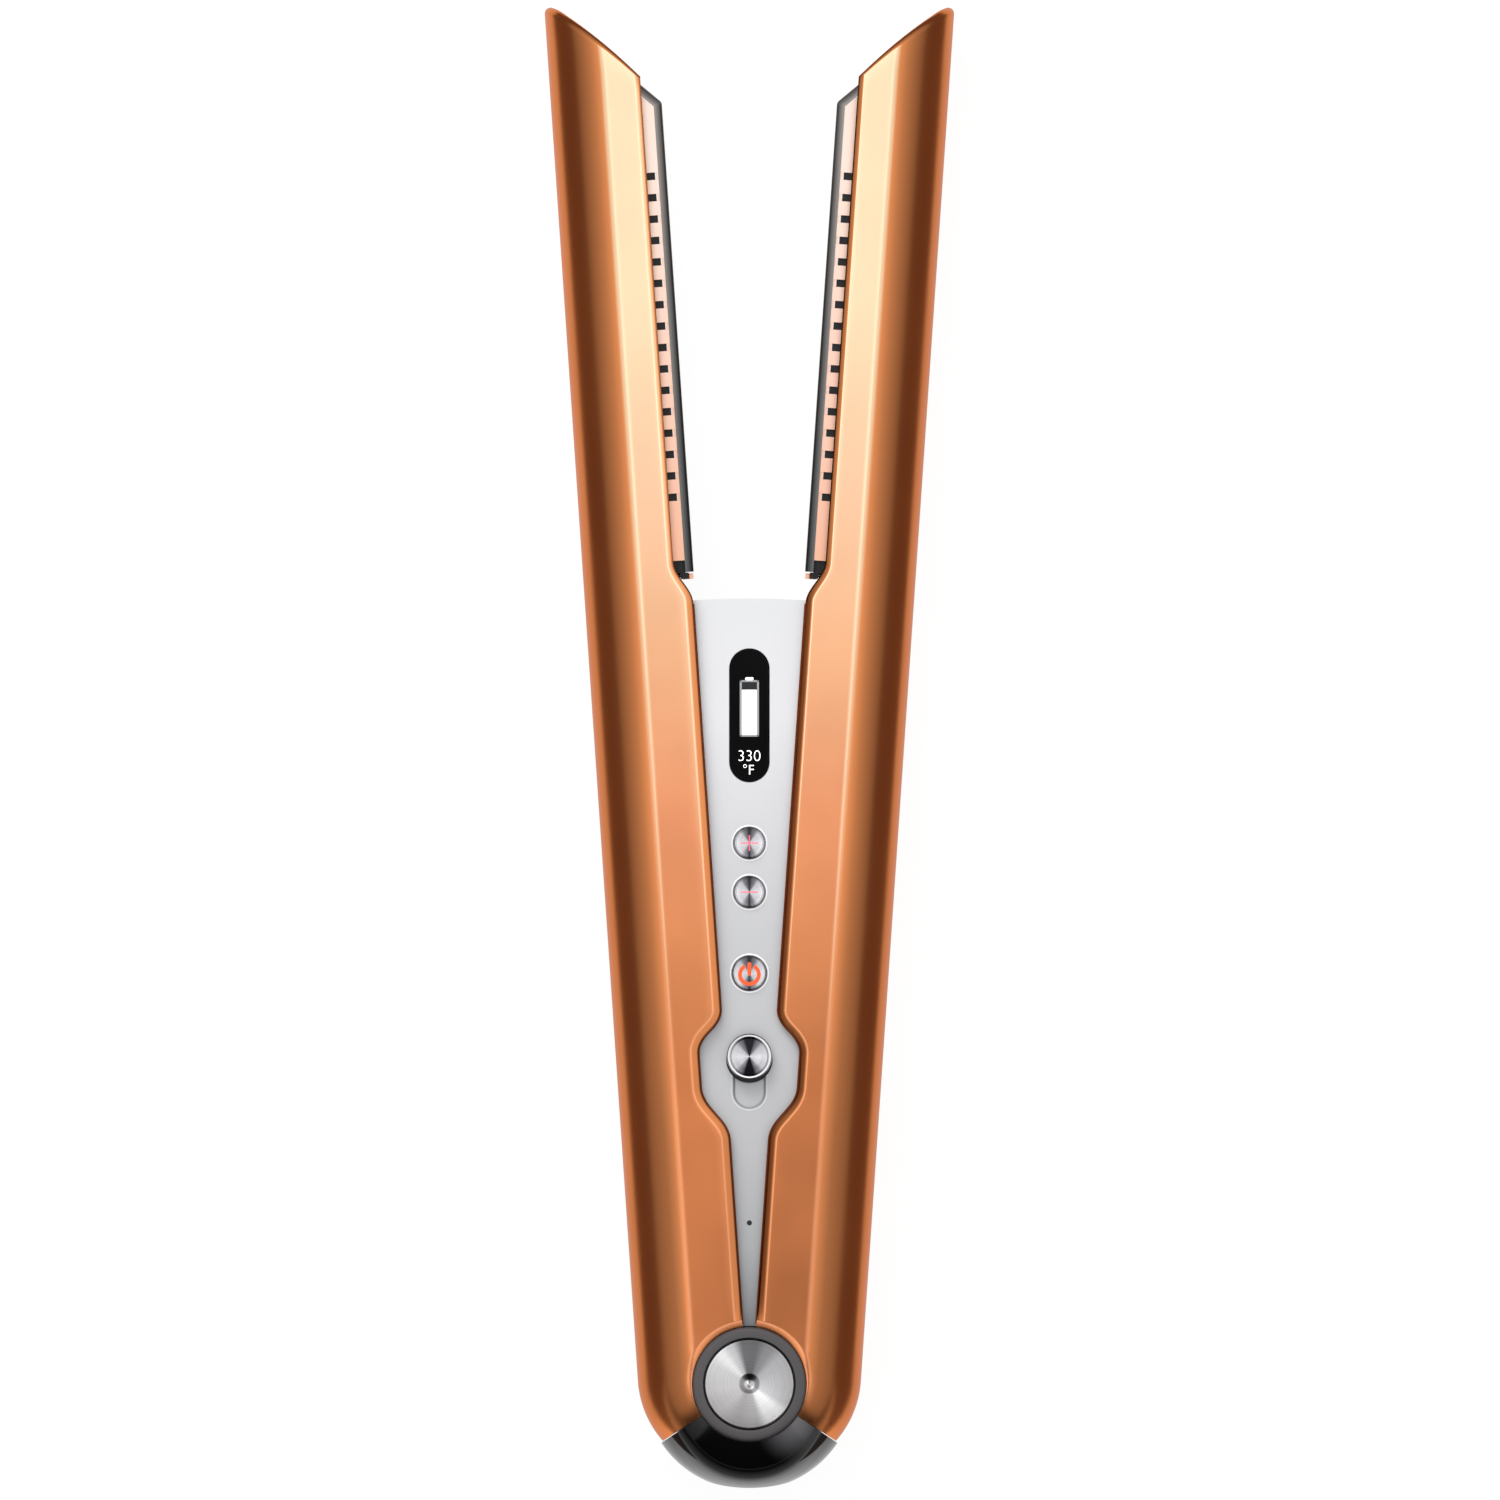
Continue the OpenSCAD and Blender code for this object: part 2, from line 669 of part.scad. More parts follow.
// Torsion spring round the spacer, whose legs push the two spines apart
module opening_spring() {
    low = eye_levels(-1)[0] + eye_thick + eye_gap + spring_wire_r + 0.4;
    rise = body_depth - 2 * low;
    turns = floor(rise / spring_pitch) + 0.5;
    steps = 16;
    leg_x = (spine_x + spring_leg_y * sin(open_angle)) / cos(open_angle) - spring_wire_r - 0.25;
    coil = [for (i = [0:turns * steps]) let (a = 180 + 360 * i / steps)
        [spring_r * cos(a), spring_r * sin(a), low + rise * i / (turns * steps)]];
    path = concat([[-leg_x, spring_leg_y, low]], coil, [[leg_x, spring_leg_y, low + rise]]);
    color(steel) wire(path, spring_wire_r);
}

// Raised ring round a hinge cap, from z0 to z1
module hinge_ring(z0, z1, edge0, edge1) {
    inner = hinge_cap_r + 0.2;
    color(dark_grey) rotate_extrude() polygon([
        [inner, z0], [ring_r - edge0, z0], [ring_r, z0 + edge0], [ring_r, z1 - edge1],
        [ring_r - edge1, z1], [inner, z1]]);
}

module front_hinge_ring() hinge_ring(panel_z, body_depth + 0.4, 0, 0.4);

module rear_hinge_ring() hinge_ring(0.2, back_z, 0.3, 0);

// Spun metal cap with a shallow cone and a small centre dimple
module front_hinge_cap() {
    z = body_depth;
    r = hinge_cap_r;
    color(steel) rotate_extrude() polygon([
        [0, panel_z], [r, panel_z], [r, z - 0.25], [r - 0.25, z], [2.3, z - 0.45],
        [2, z - 0.25], [1.2, z - 0.2], [0.7, z - 0.6], [0, z - 0.7]]);
}

module rear_hinge_cap() {
    color(steel) cylinder(r = hinge_cap_r, h = back_z);
}

// ---------------------------------------------------------------- charging socket

// A ring or disc about the socket's axis, from y0 to y1
module socket_disc(r, y0, y1, inner = 0) {
    translate([0, y0, mid_z]) rotate([-90, 0, 0]) difference() {
        cylinder(r = r, h = y1 - y0);
        if (inner > 0) translate([0, 0, -1]) cylinder(r = inner, h = y1 - y0 + 2);
    }
}

module socket_ring() {
    color(steel) {
        socket_disc(socket_r + socket_wall, socket_face_y, socket_floor_y, socket_r);
        socket_disc(socket_r + socket_wall, socket_floor_y, socket_back_y, socket_r - socket_step);
    }
}

contact_y = [socket_floor_y, socket_floor_y + 1.2];

module socket_base() {
    color(black) difference() {
        socket_disc(socket_r - socket_step - 0.02, socket_floor_y, socket_back_y);
        socket_disc(1.02, socket_floor_y - 1, contact_y[1]);
        socket_disc(4.22, socket_floor_y - 1, contact_y[1], 3.38);
    }
}

module charge_contacts() {
    color("gold") {
        socket_disc(1, contact_y[0], contact_y[1]);
        socket_disc(4.2, contact_y[0], contact_y[1], 3.4);
    }
}

module socket_magnet() {
    color(steel) socket_disc(socket_r + socket_wall, socket_back_y, socket_back_y + magnet_thick, 3);
}

module charge_board() {
    y = socket_back_y + magnet_thick;
    color(board_green) socket_disc(socket_r + socket_wall, y, y + charge_board_thick);
}

// ---------------------------------------------------------------- arms

// Everything beyond a line that goes through x, y and slants like the tip
module beyond_slant(x, y) {
    linear_extrude(3 * body_depth, center = true) polygon([
        [x - far, y - far * tip_slope], [x + far, y + far * tip_slope], [x - far, y + far * tip_slope]]);
}

// Everything beyond the tip, whose outer corner is rounded
module beyond_tip() {
    low = [plate_lip - 20, tip_lip_y - 20 * tip_slope];
    corner = [plate_lip + tip_rise / tip_slope, arm_reach];
    out = [arm_half_width + 20, arm_reach];
    linear_extrude(3 * body_depth, center = true) polygon(concat(
        [low], fillet(low, corner, out, tip_round), [out, out + [0, far], low + [0, far]]));
}

// The arm's solid form taken in by t, open towards the middle from x0
module arm_form(x0, t) {
    along_y(arc_y, arm_reach + 1) polygon(body_section(x0, t));
    translate([arc_x, arc_y, 0]) rotate([0, 0, -90]) rotate_extrude(angle = 90)
        polygon(body_section(3 - t, t, arc_x));
}

// Where the lips step back beside the plates
function lip_step_points() =
    [for (i = [0:8]) let (s = i / 8)
        [lip_gap + (plate_lip - lip_gap) * (1 - cos(180 * s)) / 2, lip_step_top - lip_step * (1 - s)]];

// Recess in the front lip for the lock knob, shaped to clear both ends of its travel
function lock_recess_points() =
    let (y0 = lock_y - lock_travel - lock_knob_r - 2.6, y1 = lock_y + lock_knob_r + 3,
         half = lock_knob_r + knob_clearance, d = half - lip_gap)
    rounded([[-2, y0], [lip_gap, y0], [half, y0 + 1.33 * d], [half, y1 - 0.88 * d],
             [lip_gap, y1], [-2, y1]], [0, 4, 3, 3, 3, 0]);

module arm_shell(side) {
    color(copper) on_arm(side) {
        difference() {
            arm_form(lip_gap, 0);
            difference() {
                arm_form(-2, shell_wall);
                beyond_slant(plate_lip, tip_lip_y - tip_wall_y);
            }
            beyond_tip();
            // the lips step back beside the plates
            linear_extrude(3 * body_depth, center = true) polygon(concat(
                [[-2, lip_step_top - lip_step]], lip_step_points(),
                [[plate_lip, arm_reach + 60], [-2, arm_reach + 60]]));
            translate([0, 0, mid_z]) linear_extrude(body_depth) polygon(lock_recess_points());
            translate([0, 0, -1]) cylinder(r = ring_r + ring_clearance, h = body_depth + 2);
            // the end that meets the end cap
            linear_extrude(3 * body_depth, center = true) polygon([
                [0, 0], 60 * [cos(arm_cut_angle), -sin(arm_cut_angle)], [60, -60], [-5, -60], [-5, 0]]);
        }
        for (y = shell_screw_y) difference() {
            along_x(spine_x + spine_thick, arm_half_width - shell_wall / 2, y, mid_z, boss_r);
            along_x(spine_x, arm_half_width - shell_wall, y, mid_z, screw_r);
        }
    }
}

// Web of a hinge eye, from the pin to the foot of the spine
module eye_web() {
    circle(eye_r);
    polygon([[0, eye_r - 0.1], [spine_x, 11], [spine_x + spine_thick, 11],
             [spine_x + spine_thick, spine_foot], [spine_x, spine_foot], [4.5, -7.2]]);
}

// Backbone of an arm: hinge eyes, a long rail, and holes for the shell's screws
module arm_spine(side) {
    color(dark_grey) on_arm(side) difference() {
        union() {
            block([spine_x, spine_foot, mid_z - spine_half],
                  [spine_x + spine_thick, spine_end, mid_z + spine_half]);
            for (z = eye_levels(side)) translate([0, 0, z]) linear_extrude(eye_thick) eye_web();
        }
        translate([0, 0, -1]) cylinder(r = bore_r, h = body_depth + 2);
        for (y = shell_screw_y) {
            along_x(spine_x - 1, spine_x + spine_thick + 1, y, mid_z, 1.05);
            along_x(spine_x - 1, spine_x + 1.1, y, mid_z, 1.95);
        }
    }
}

module shell_screws(side) {
    color(steel) on_arm(side) for (y = shell_screw_y) {
        along_x(spine_x + 0.1, spine_x + 1.1, y, mid_z, 1.8);
        along_x(spine_x + 1.1, arm_half_width - shell_wall - 0.6, y, mid_z, screw_r - 0.02);
    }
}

// Steel hook that reaches into the control body when the arm closes
module latch_hook(side) {
    z1 = hook_z + hook_thick;
    bar_y = prong_y - hook_bar;
    color(steel) on_arm(side) {
        block([prong_in, bar_y, hook_z], [spine_x - 0.5, prong_y, z1]);
        block([prong_in, prong_y, hook_z], [prong_in + prong_thick, prong_y + prong_length, z1]);
        block([spine_x - 0.5, bar_y - 3, z1 - 8.4], [spine_x, prong_y + 4, z1]);
    }
}

// Black frame that closes the shell round the plate
module plate_surround(side) {
    half = plate_width / 2 + surround_clearance;
    edge = body_depth / 2 - shell_wall - ease / 2;
    y0 = plate_start - 2.8;
    y1 = plate_end + 3.4;
    open0 = plate_start - 1.8;
    open1 = plate_end + 1.7;
    color(black) on_arm(side) {
        difference() {
            block([surround_x, y0, mid_z - edge], [surround_x + surround_thick, y1, mid_z + edge]);
            block([0, open0, mid_z - half], [surround_x + 5, open1, mid_z + half]);
            beyond_slant(plate_lip, tip_lip_y - tip_wall_y - 0.2);
        }
        for (y = [[y0, open0], [open1, y1]])
            block([surround_x + surround_thick, y[0], mid_z - spine_half],
                  [spine_x, y[1], mid_z + spine_half]);
    }
}

// ---------------------------------------------------------------- plate assembly

// Dark face plate with rounded long edges and a rim that slants back at the tip
module plate_face(side) {
    h = plate_width / 2;
    e = plate_edge_r;
    rim = plate_thick / cos(tip_angle);
    color(gunmetal) on_arm(side) {
        difference() {
            along_y(plate_start, plate_end + 5) polygon(rounded(
                [[plate_gap, mid_z - h], [flex_x, mid_z - h], [flex_x, mid_z + h], [plate_gap, mid_z + h]],
                [e, 0, 0, e]));
            beyond_slant(plate_gap, plate_end);
        }
        translate([0, 0, mid_z - h + e]) linear_extrude(2 * (h - e)) polygon([
            [flex_x - 0.5, plate_end - rim], [flex_x - 0.5, plate_end],
            [flex_x, plate_end + plate_thick * tip_slope],
            [face_end_x, plate_end + (face_end_x - plate_gap) * tip_slope],
            [face_end_x, plate_end + (face_end_x - plate_gap) * tip_slope - rim],
            [flex_x, plate_end + plate_thick * tip_slope - rim]]);
    }
}

// Copper alloy channel whose sides are cut into flexing fingers, with a tab at its lower end
module flex_plate(side) {
    y0 = plate_start + 2.3;
    y1 = plate_end + 1.3;
    rim = plate_thick / cos(tip_angle) + ease / 2;
    color(plate_copper) on_arm(side) {
        difference() {
            union() {
                block([flex_x, y0, mid_z - flange_half], [flex_x + flex_thick, y1, mid_z + flange_half]);
                for (z = [mid_z - flange_half, mid_z + flange_half - flange_thick])
                    block([flex_x, y0, z], [flex_x + flange_depth, y1, z + flange_thick]);
            }
            for (i = [0:slot_count - 1]) let (y = plate_start + first_slot + i * slot_pitch)
                for (z = [mid_z - flange_half - 1, mid_z + flange_half - flange_thick])
                    block([flex_x + 0.01, y - slot_width / 2, z],
                          [flex_x + flange_depth + 1, y + slot_width / 2, z + flange_thick + 1]);
            beyond_slant(plate_gap, plate_end - rim);
        }
        block([flex_x, tail_y, mid_z - tail_half], [flex_x + flex_thick, y0 + 1, mid_z + tail_half]);
        block([plate_gap + 0.1, tail_y, mid_z - tail_half],
              [flex_x + 0.1, plate_start - 0.3, mid_z + tail_half]);
        block([plate_gap + 0.1, tail_y, mid_z - guide_z],
              [plate_gap + 0.1 + tab_depth, plate_start - 0.3, mid_z + guide_z]);
    }
}

module heater(side) {
    color("#c9a45a") on_arm(side)
        block([carrier_x, heater_start, mid_z - heater_half],
              [carrier_x + heater_thick, heater_end, mid_z + heater_half]);
}

thermistor_y = (heater_start + heater_end) / 2;
thermistor_length = 4;
thermistor_half = 1.5;

// Black tray that holds the heater against the plate and rides on the float springs
module plate_carrier(side) {
    y0 = plate_start + 2.5;
    y1 = plate_end - 0.8;
    foot_x = plate_gap + 0.2 + tab_depth;
    color(black) on_arm(side) difference() {
        union() {
            block([carrier_x, y0, mid_z - carrier_half], [carrier_back_x, y1, mid_z + carrier_half]);
            block([foot_x, tail_y + 0.1, mid_z - carrier_half],
                  [flex_x + 1, plate_start - ease, mid_z + carrier_half]);
            block([flex_x + ease, plate_start - ease * 2, mid_z - carrier_half],
                  [plate_lip + 1.5, y0 + 0.5, mid_z + carrier_half]);
        }
        block([carrier_x - 3, heater_start - ease, mid_z - heater_half - ease],
              [carrier_floor_x, heater_end + ease, mid_z + heater_half + ease]);
        block([carrier_floor_x + carrier_floor, heater_start - 1, mid_z - heater_half + 0.5],
              [carrier_back_x + 1, heater_end - 1, mid_z + heater_half - 0.5]);
        block([carrier_floor_x - 1, thermistor_y - ease, mid_z - thermistor_half - ease],
              [carrier_back_x, thermistor_y + thermistor_length + ease, mid_z + thermistor_half + ease]);
        // room for the flexing plate's back and tongue
        block([flex_x - 0.01, plate_start + 2.2, mid_z - flange_half - 1],
              [carrier_x, plate_end, mid_z + flange_half + 1]);
        block([foot_x - 1, tail_y - 1, mid_z - tail_half - ease], [carrier_x, y0, mid_z + tail_half + ease]);
        for (z = [mid_z - guide_z, mid_z + guide_z]) along_x(foot_x + 0.1, far, guide_y, z, guide_r + 0.05);
    }
}

// Steel pins that the tray slides on as it floats
module guide_pins(side) {
    color(steel) on_arm(side) for (z = [mid_z - guide_z, mid_z + guide_z])
        along_x(flex_x + 0.05, spine_x, guide_y, z, guide_r);
}

module thermistor(side) {
    color(steel) on_arm(side)
        block([carrier_x + heater_thick, thermistor_y, mid_z - thermistor_half],
              [carrier_floor_x + carrier_floor + 0.6, thermistor_y + thermistor_length,
               mid_z + thermistor_half]);
}

float_spring_y = [heater_start + 10, heater_end - 12];
float_coil_r = 2.6;
float_wire_r = 0.35;

// Two coil springs that press the tray towards the middle
module float_springs(side) {
    turns = 4;
    steps = 12;
    x0 = carrier_floor_x + carrier_floor + float_wire_r + 0.02;
    x1 = spine_x - float_wire_r - 0.02;
    color(steel) on_arm(side) for (y = float_spring_y)
        wire([for (i = [0:turns * steps]) let (a = 360 * i / steps)
            [x0 + (x1 - x0) * i / (turns * steps), y + float_coil_r * cos(a), mid_z + float_coil_r * sin(a)]],
            float_wire_r);
}

// ---------------------------------------------------------------- nodes

front_fascia();
rear_cover();
core_chassis();
end_cap();
display_lens();
display_module();
control_board();
tact_switches();
status_light();
push_button(plus_y, step_button_r);  // plus_button
push_button(minus_y, step_button_r);  // minus_button
push_button(power_y, power_button_r);  // power_button
lock_knob();
lock_carriage();
lock_retainer();
battery_cell(0);  // battery_cell_1
battery_cell(1);  // battery_cell_2
battery_cell(2);  // battery_cell_3
battery_cell(3);  // battery_cell_4
battery_tabs();
case_screws();
hinge_pin();
hinge_spacer();
thrust_washers();
opening_spring();
front_hinge_ring();
front_hinge_cap();
rear_hinge_ring();
rear_hinge_cap();
socket_ring();
socket_base();
charge_contacts();
socket_magnet();
charge_board();
arm_shell(-1);  // left_shell
arm_shell(1);  // right_shell
arm_spine(-1);  // left_spine
arm_spine(1);  // right_spine
latch_hook(-1);  // left_latch_hook
latch_hook(1);  // right_latch_hook
shell_screws(-1);  // left_shell_screws
shell_screws(1);  // right_shell_screws
plate_surround(-1);  // left_plate_surround
plate_surround(1);  // right_plate_surround
guide_pins(-1);  // left_guide_pins
guide_pins(1);  // right_guide_pins
float_springs(-1);  // left_float_springs
float_springs(1);  // right_float_springs
plate_face(-1);  // left_plate_face
plate_face(1);  // right_plate_face
flex_plate(-1);  // left_flex_plate
flex_plate(1);  // right_flex_plate
heater(-1);  // left_heater
heater(1);  // right_heater
plate_carrier(-1);  // left_plate_carrier
plate_carrier(1);  // right_plate_carrier
thermistor(-1);  // left_thermistor
thermistor(1);  // right_thermistor
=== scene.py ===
"""Cordless flat iron: copper shell arms that spring open on one hinge, on either side of a flat
silver control body. Sizes are in millimetres and turn to metres as a mesh is made.
Arm space is x out from the middle and y along the arm while it is closed; z is up."""

import json
import math

import bmesh
import bpy
import numpy as np
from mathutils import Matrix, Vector


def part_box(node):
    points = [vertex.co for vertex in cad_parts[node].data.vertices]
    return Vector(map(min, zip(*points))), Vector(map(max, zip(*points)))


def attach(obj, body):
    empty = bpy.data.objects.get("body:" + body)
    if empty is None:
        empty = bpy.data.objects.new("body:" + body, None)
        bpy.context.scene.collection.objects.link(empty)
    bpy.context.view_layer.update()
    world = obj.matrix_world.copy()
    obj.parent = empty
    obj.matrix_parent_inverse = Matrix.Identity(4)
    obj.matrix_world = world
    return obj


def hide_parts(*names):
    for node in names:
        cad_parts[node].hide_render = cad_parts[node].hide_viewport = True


MM = 0.001
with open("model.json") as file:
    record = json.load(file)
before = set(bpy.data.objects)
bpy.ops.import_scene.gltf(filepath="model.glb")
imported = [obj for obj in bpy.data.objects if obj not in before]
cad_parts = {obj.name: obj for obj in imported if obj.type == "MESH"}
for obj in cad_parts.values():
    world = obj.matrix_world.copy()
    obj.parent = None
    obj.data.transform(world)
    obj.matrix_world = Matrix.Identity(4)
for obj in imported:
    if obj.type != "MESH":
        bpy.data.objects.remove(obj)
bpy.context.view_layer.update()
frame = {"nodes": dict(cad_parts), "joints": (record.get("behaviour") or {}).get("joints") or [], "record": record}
nodes = frame["nodes"]


# ---------------------------------------------------------------- sizes from the frame

def node_box(node):
    """Lowest and highest corner of a node, in millimetres."""
    low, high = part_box(node)
    return np.array(low) / MM, np.array(high) / MM


DEPTH = node_box("right_shell")[1][2]
MID = DEPTH / 2
PANEL = node_box("front_fascia")[1][2]
BACK = node_box("rear_cover")[0][2]
RING_R = node_box("front_hinge_ring")[1][0]
RING_TOP = node_box("front_hinge_ring")[1][2]
CAP_R = node_box("front_hinge_cap")[1][0]
SOCKET_FACE = node_box("socket_ring")[0][1]
SOCKET_R = node_box("socket_ring")[1][0]
LOCK_TRAVEL = next(joint["range_m"][1] for joint in frame["joints"]
                   if joint["child"] == "lock_slider") / MM

# ---------------------------------------------------------------- driving sizes of the arms

OPEN = math.radians(3.9)        # how far each arm has sprung open
HALF_WIDTH = 21.5               # of one closed arm
CREASE = 10.65                  # where the flat front turns into the rounded side
CROWN = 1.7                     # width of the soft crown beside the crease
SIDE_CENTRE = 9.9               # of the elliptical side
WALL = 1.8
LIP = 0.55                      # from the middle to the handle lip
BEVEL = 1.75                    # width of the bevel along the handle lips
PLATE_BEVEL = 1.25              # along the lips beside the plates
RING_BEVEL = 1.35               # and round the hinge ring
# shares of the way over the bevel, from the lip inwards, and its tilt there, in degrees,
# round the ring, along the handle and by the plates
BEVEL_TILT = {
    "left": [(0, 0.18, 0.28, 0.74, 0.86, 1), (20, 14, 10, 7, 4, 2), (75, 52, 14, 12, 7, 3),
             (40, 24, 12, 9, 6, 2)],
    "right": [(0, 0.2, 0.3, 0.74, 0.82, 1), (20, 14, 10, 7, 4, 2), (80, 62, 41, 34, 6, 1),
              (60, 50, 28, 22, 9, 3)]}
PLATE_LIP = 3.9                 # from the middle to the lip beside the plates
STEP = (151.6, 159.8)           # where the lip swings out beside the plates
RECESS = [(49.4, 0), (55.9, 4.9), (66.5, 4.9), (70.8, 0)]   # depth beside the lock knob
RECESS_SOFT = 1.9               # its corners are averaged over this much to both sides
TURN = np.array([2.1, 2.0])     # centre of the arm's rounded hinge end
RING_GAP = 11.12                # radius that the shells keep from the hinge axis
CUT = math.radians(29.4)        # slant of the cut that meets the end cap
END_CAP_R = 20.5
CAP_HALF = math.radians(56.3)   # half of the angle that the end cap covers
TIP_START = 236.0               # where the rows of the shell begin to lean with the tip
TIP_LIP = 253.9                 # inner corner of the slanted tip
TIP_SLANT = math.radians(43.6)
TIP_ROLL = (0.55, 0.6)          # radius of the tip's rolled edge at the lip, and how much more
                                # it is at the outside
TIP_WALL = 1.45                 # depth of the end wall at the lip, with its roll
PLATE = (157.6, 248.6)          # ends of the heating plates
PLATE_HALF = 13.8               # half of their width
PLATE_GAP = 0.05                # from the middle to a closed plate
PLATE_THICK = 1.6
SLOT_R = 3.25                   # round ends of the lock knob's slot
SEAL = 0.2                      # how far the dark strips of painted shadow stand in from the lips
SPREAD = 3000                   # reach of the floor and the cards round the iron
SIDES = {"left": -1, "right": 1}


# ---------------------------------------------------------------- making meshes

def quads(rows, columns, first=0):
    """Faces between the points of a grid, numbered row by row from first."""
    n = first + np.arange(rows * columns).reshape(rows, columns)
    return np.stack([n[:-1, :-1], n[:-1, 1:], n[1:, 1:], n[1:, :-1]], -1).reshape(-1, 4)


def piece(name, grids, material, body, stands_for=(), sharp=35.0, crease=None):
    """One mesh from grids of points in millimetres. Points that coincide are merged, so grids
    that share an edge close up, and then all faces are turned outwards. Edges sharper than
    the angle, and edges whose points all lie where crease() is true, stay crisp."""
    faces, first = [], 0
    for grid in grids:
        faces.append(quads(*grid.shape[:2], first))
        first += grid.shape[0] * grid.shape[1]
    mesh = bpy.data.meshes.new(name)
    points = np.concatenate([grid.reshape(-1, 3) for grid in grids]) * MM
    mesh.from_pydata(points.tolist(), [], np.concatenate(faces).tolist())
    close(mesh)
    mesh.set_sharp_from_angle(angle=math.radians(sharp))
    if crease is not None:
        ends = np.zeros(len(mesh.edges) * 2, np.int32)
        mesh.edges.foreach_get("vertices", ends)
        place = np.zeros(len(mesh.vertices) * 3)
        mesh.vertices.foreach_get("co", place)
        on = crease(place.reshape(-1, 3) / MM)[ends.reshape(-1, 2)].all(1)
        flags = np.zeros(len(mesh.edges), bool)
        mesh.attributes["sharp_edge"].data.foreach_get("value", flags)
        mesh.attributes["sharp_edge"].data.foreach_set("value", flags | on)
    return finish_piece(name, mesh, material, body, stands_for)


def close(mesh):
    """Merges points that coincide and turns all faces outwards."""
    shape = bmesh.new()
    shape.from_mesh(mesh)
    bmesh.ops.remove_doubles(shape, verts=shape.verts, dist=0.0008 * MM)
    bmesh.ops.recalc_face_normals(shape, faces=shape.faces)
    shape.to_mesh(mesh)
    shape.free()
    mesh.polygons.foreach_set("use_smooth", np.ones(len(mesh.polygons), bool))


def finish_piece(name, mesh, material, body, stands_for=()):
    """Puts a mesh into the scene with its finish, body and the nodes that it stands for."""
    mesh.materials.append(material)
    thing = bpy.data.objects.new(name, mesh)
    bpy.context.scene.collection.objects.link(thing)
    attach(thing, body)
    if stands_for:
        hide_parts(*stands_for)
    return thing


def softened(points, radius, steps=5):
    """A path whose inner corners are rounded: each corner b between a and c becomes the
    curve (1-t)^2 p + 2t(1-t) b + t^2 q, where p and q lie radius away from b."""
    points = np.asarray(points, float)
    radius = np.broadcast_to(radius, len(points) - 2)[:, None]
    a, b, c = points[:-2], points[1:-1], points[2:]
    p = b + (a - b) * radius / np.linalg.norm(a - b, axis=1, keepdims=True)
    q = b + (c - b) * radius / np.linalg.norm(c - b, axis=1, keepdims=True)
    t = np.linspace(0, 1, steps)[:, None, None]
    curve = (1 - t) ** 2 * p + 2 * t * (1 - t) * b + t ** 2 * q
    return np.concatenate([points[:1], curve.transpose(1, 0, 2).reshape(-1, 2), points[-1:]])


def turned(profile, centre=(0, 0), steps=128, start=0.0, sweep=2 * math.pi):
    """Grid of a lathe surface: each point (r, z) of the profile goes round the Z axis
    through centre."""
    profile = np.asarray(profile, float)
    angle = start + np.linspace(0, sweep, steps + 1)
    r, z = profile[:, :1], profile[:, 1:]
    return np.stack([centre[0] + r * np.cos(angle), centre[1] + r * np.sin(angle),
                     z + 0 * angle], -1)


def about_socket(profile, steps=96):
    """Grid of a lathe surface about the socket's axis: (r, y) goes round Y at mid height."""
    x, z, y = np.moveaxis(turned(profile, steps=steps), -1, 0)
    return np.stack([x, y, MID + z], -1)


def on_arm(points, side):
    """Arm space to the open arm: turned about the hinge by the opening angle, and mirrored
    for the left arm."""
    x = points[..., 0] * math.cos(OPEN) + points[..., 1] * math.sin(OPEN)
    y = points[..., 1] * math.cos(OPEN) - points[..., 0] * math.sin(OPEN)
    return np.stack([SIDES[side] * x, y, points[..., 2]], -1)


def in_arm(points, side):
    """The open arm back to arm space."""
    x = SIDES[side] * points[..., 0]
    y = points[..., 1]
    return np.stack([x * math.cos(OPEN) - y * math.sin(OPEN),
                     y * math.cos(OPEN) + x * math.sin(OPEN), points[..., 2]], -1)


# ---------------------------------------------------------------- node helpers

def linear(colour):
    """An sRGB hex colour as linear red, green, blue and alpha."""
    value = np.array([int(colour[i:i + 2], 16) for i in (1, 3, 5)]) / 255
    value = np.where(value <= 0.04045, value / 12.92, ((value + 0.055) / 1.055) ** 2.4)
    return (*value.tolist(), 1.0)


def add_node(tree, kind, inputs=None, **settings):
    """Adds a node. Each input, by name or number, is a value, or a socket that is linked."""
    node = tree.nodes.new(kind)
    for name, value in settings.items():
        setattr(node, name, value)
    for key, value in (inputs or {}).items():
        if isinstance(value, bpy.types.NodeSocket):
            tree.links.new(value, node.inputs[key])
        else:
            node.inputs[key].default_value = value
    return node


def fill_ramp(ramp, stops):
    """Gives a colour ramp its stops, a hex colour or a grey level at each position. The
    positions 0 and 1 are the two that every new ramp has."""
    elements = ramp.color_ramp.elements
    for position, tone in stops.items():
        end = {0: 0, 1: -1}.get(position)
        stop = elements.new(position) if end is None else elements[end]
        stop.color = linear(tone) if isinstance(tone, str) else (tone, tone, tone, 1)


def empty_tree(owner):
    """The node tree of a material or a world, with nothing in it."""
    owner.use_nodes = True
    owner.node_tree.nodes.clear()
    return owner.node_tree


def new_material(name, colour, metallic, roughness, **sockets):
    """A material with one Principled BSDF, and its node tree."""
    material = bpy.data.materials.new(name)
    material.use_nodes = True
    tree = material.node_tree
    shader = tree.nodes["Principled BSDF"]
    shader.inputs["Base Color"].default_value = linear(colour)
    shader.inputs["Metallic"].default_value = metallic
    shader.inputs["Roughness"].default_value = roughness
    for key, value in sockets.items():
        shader.inputs[key.replace("_", " ")].default_value = value
    return material, tree, shader


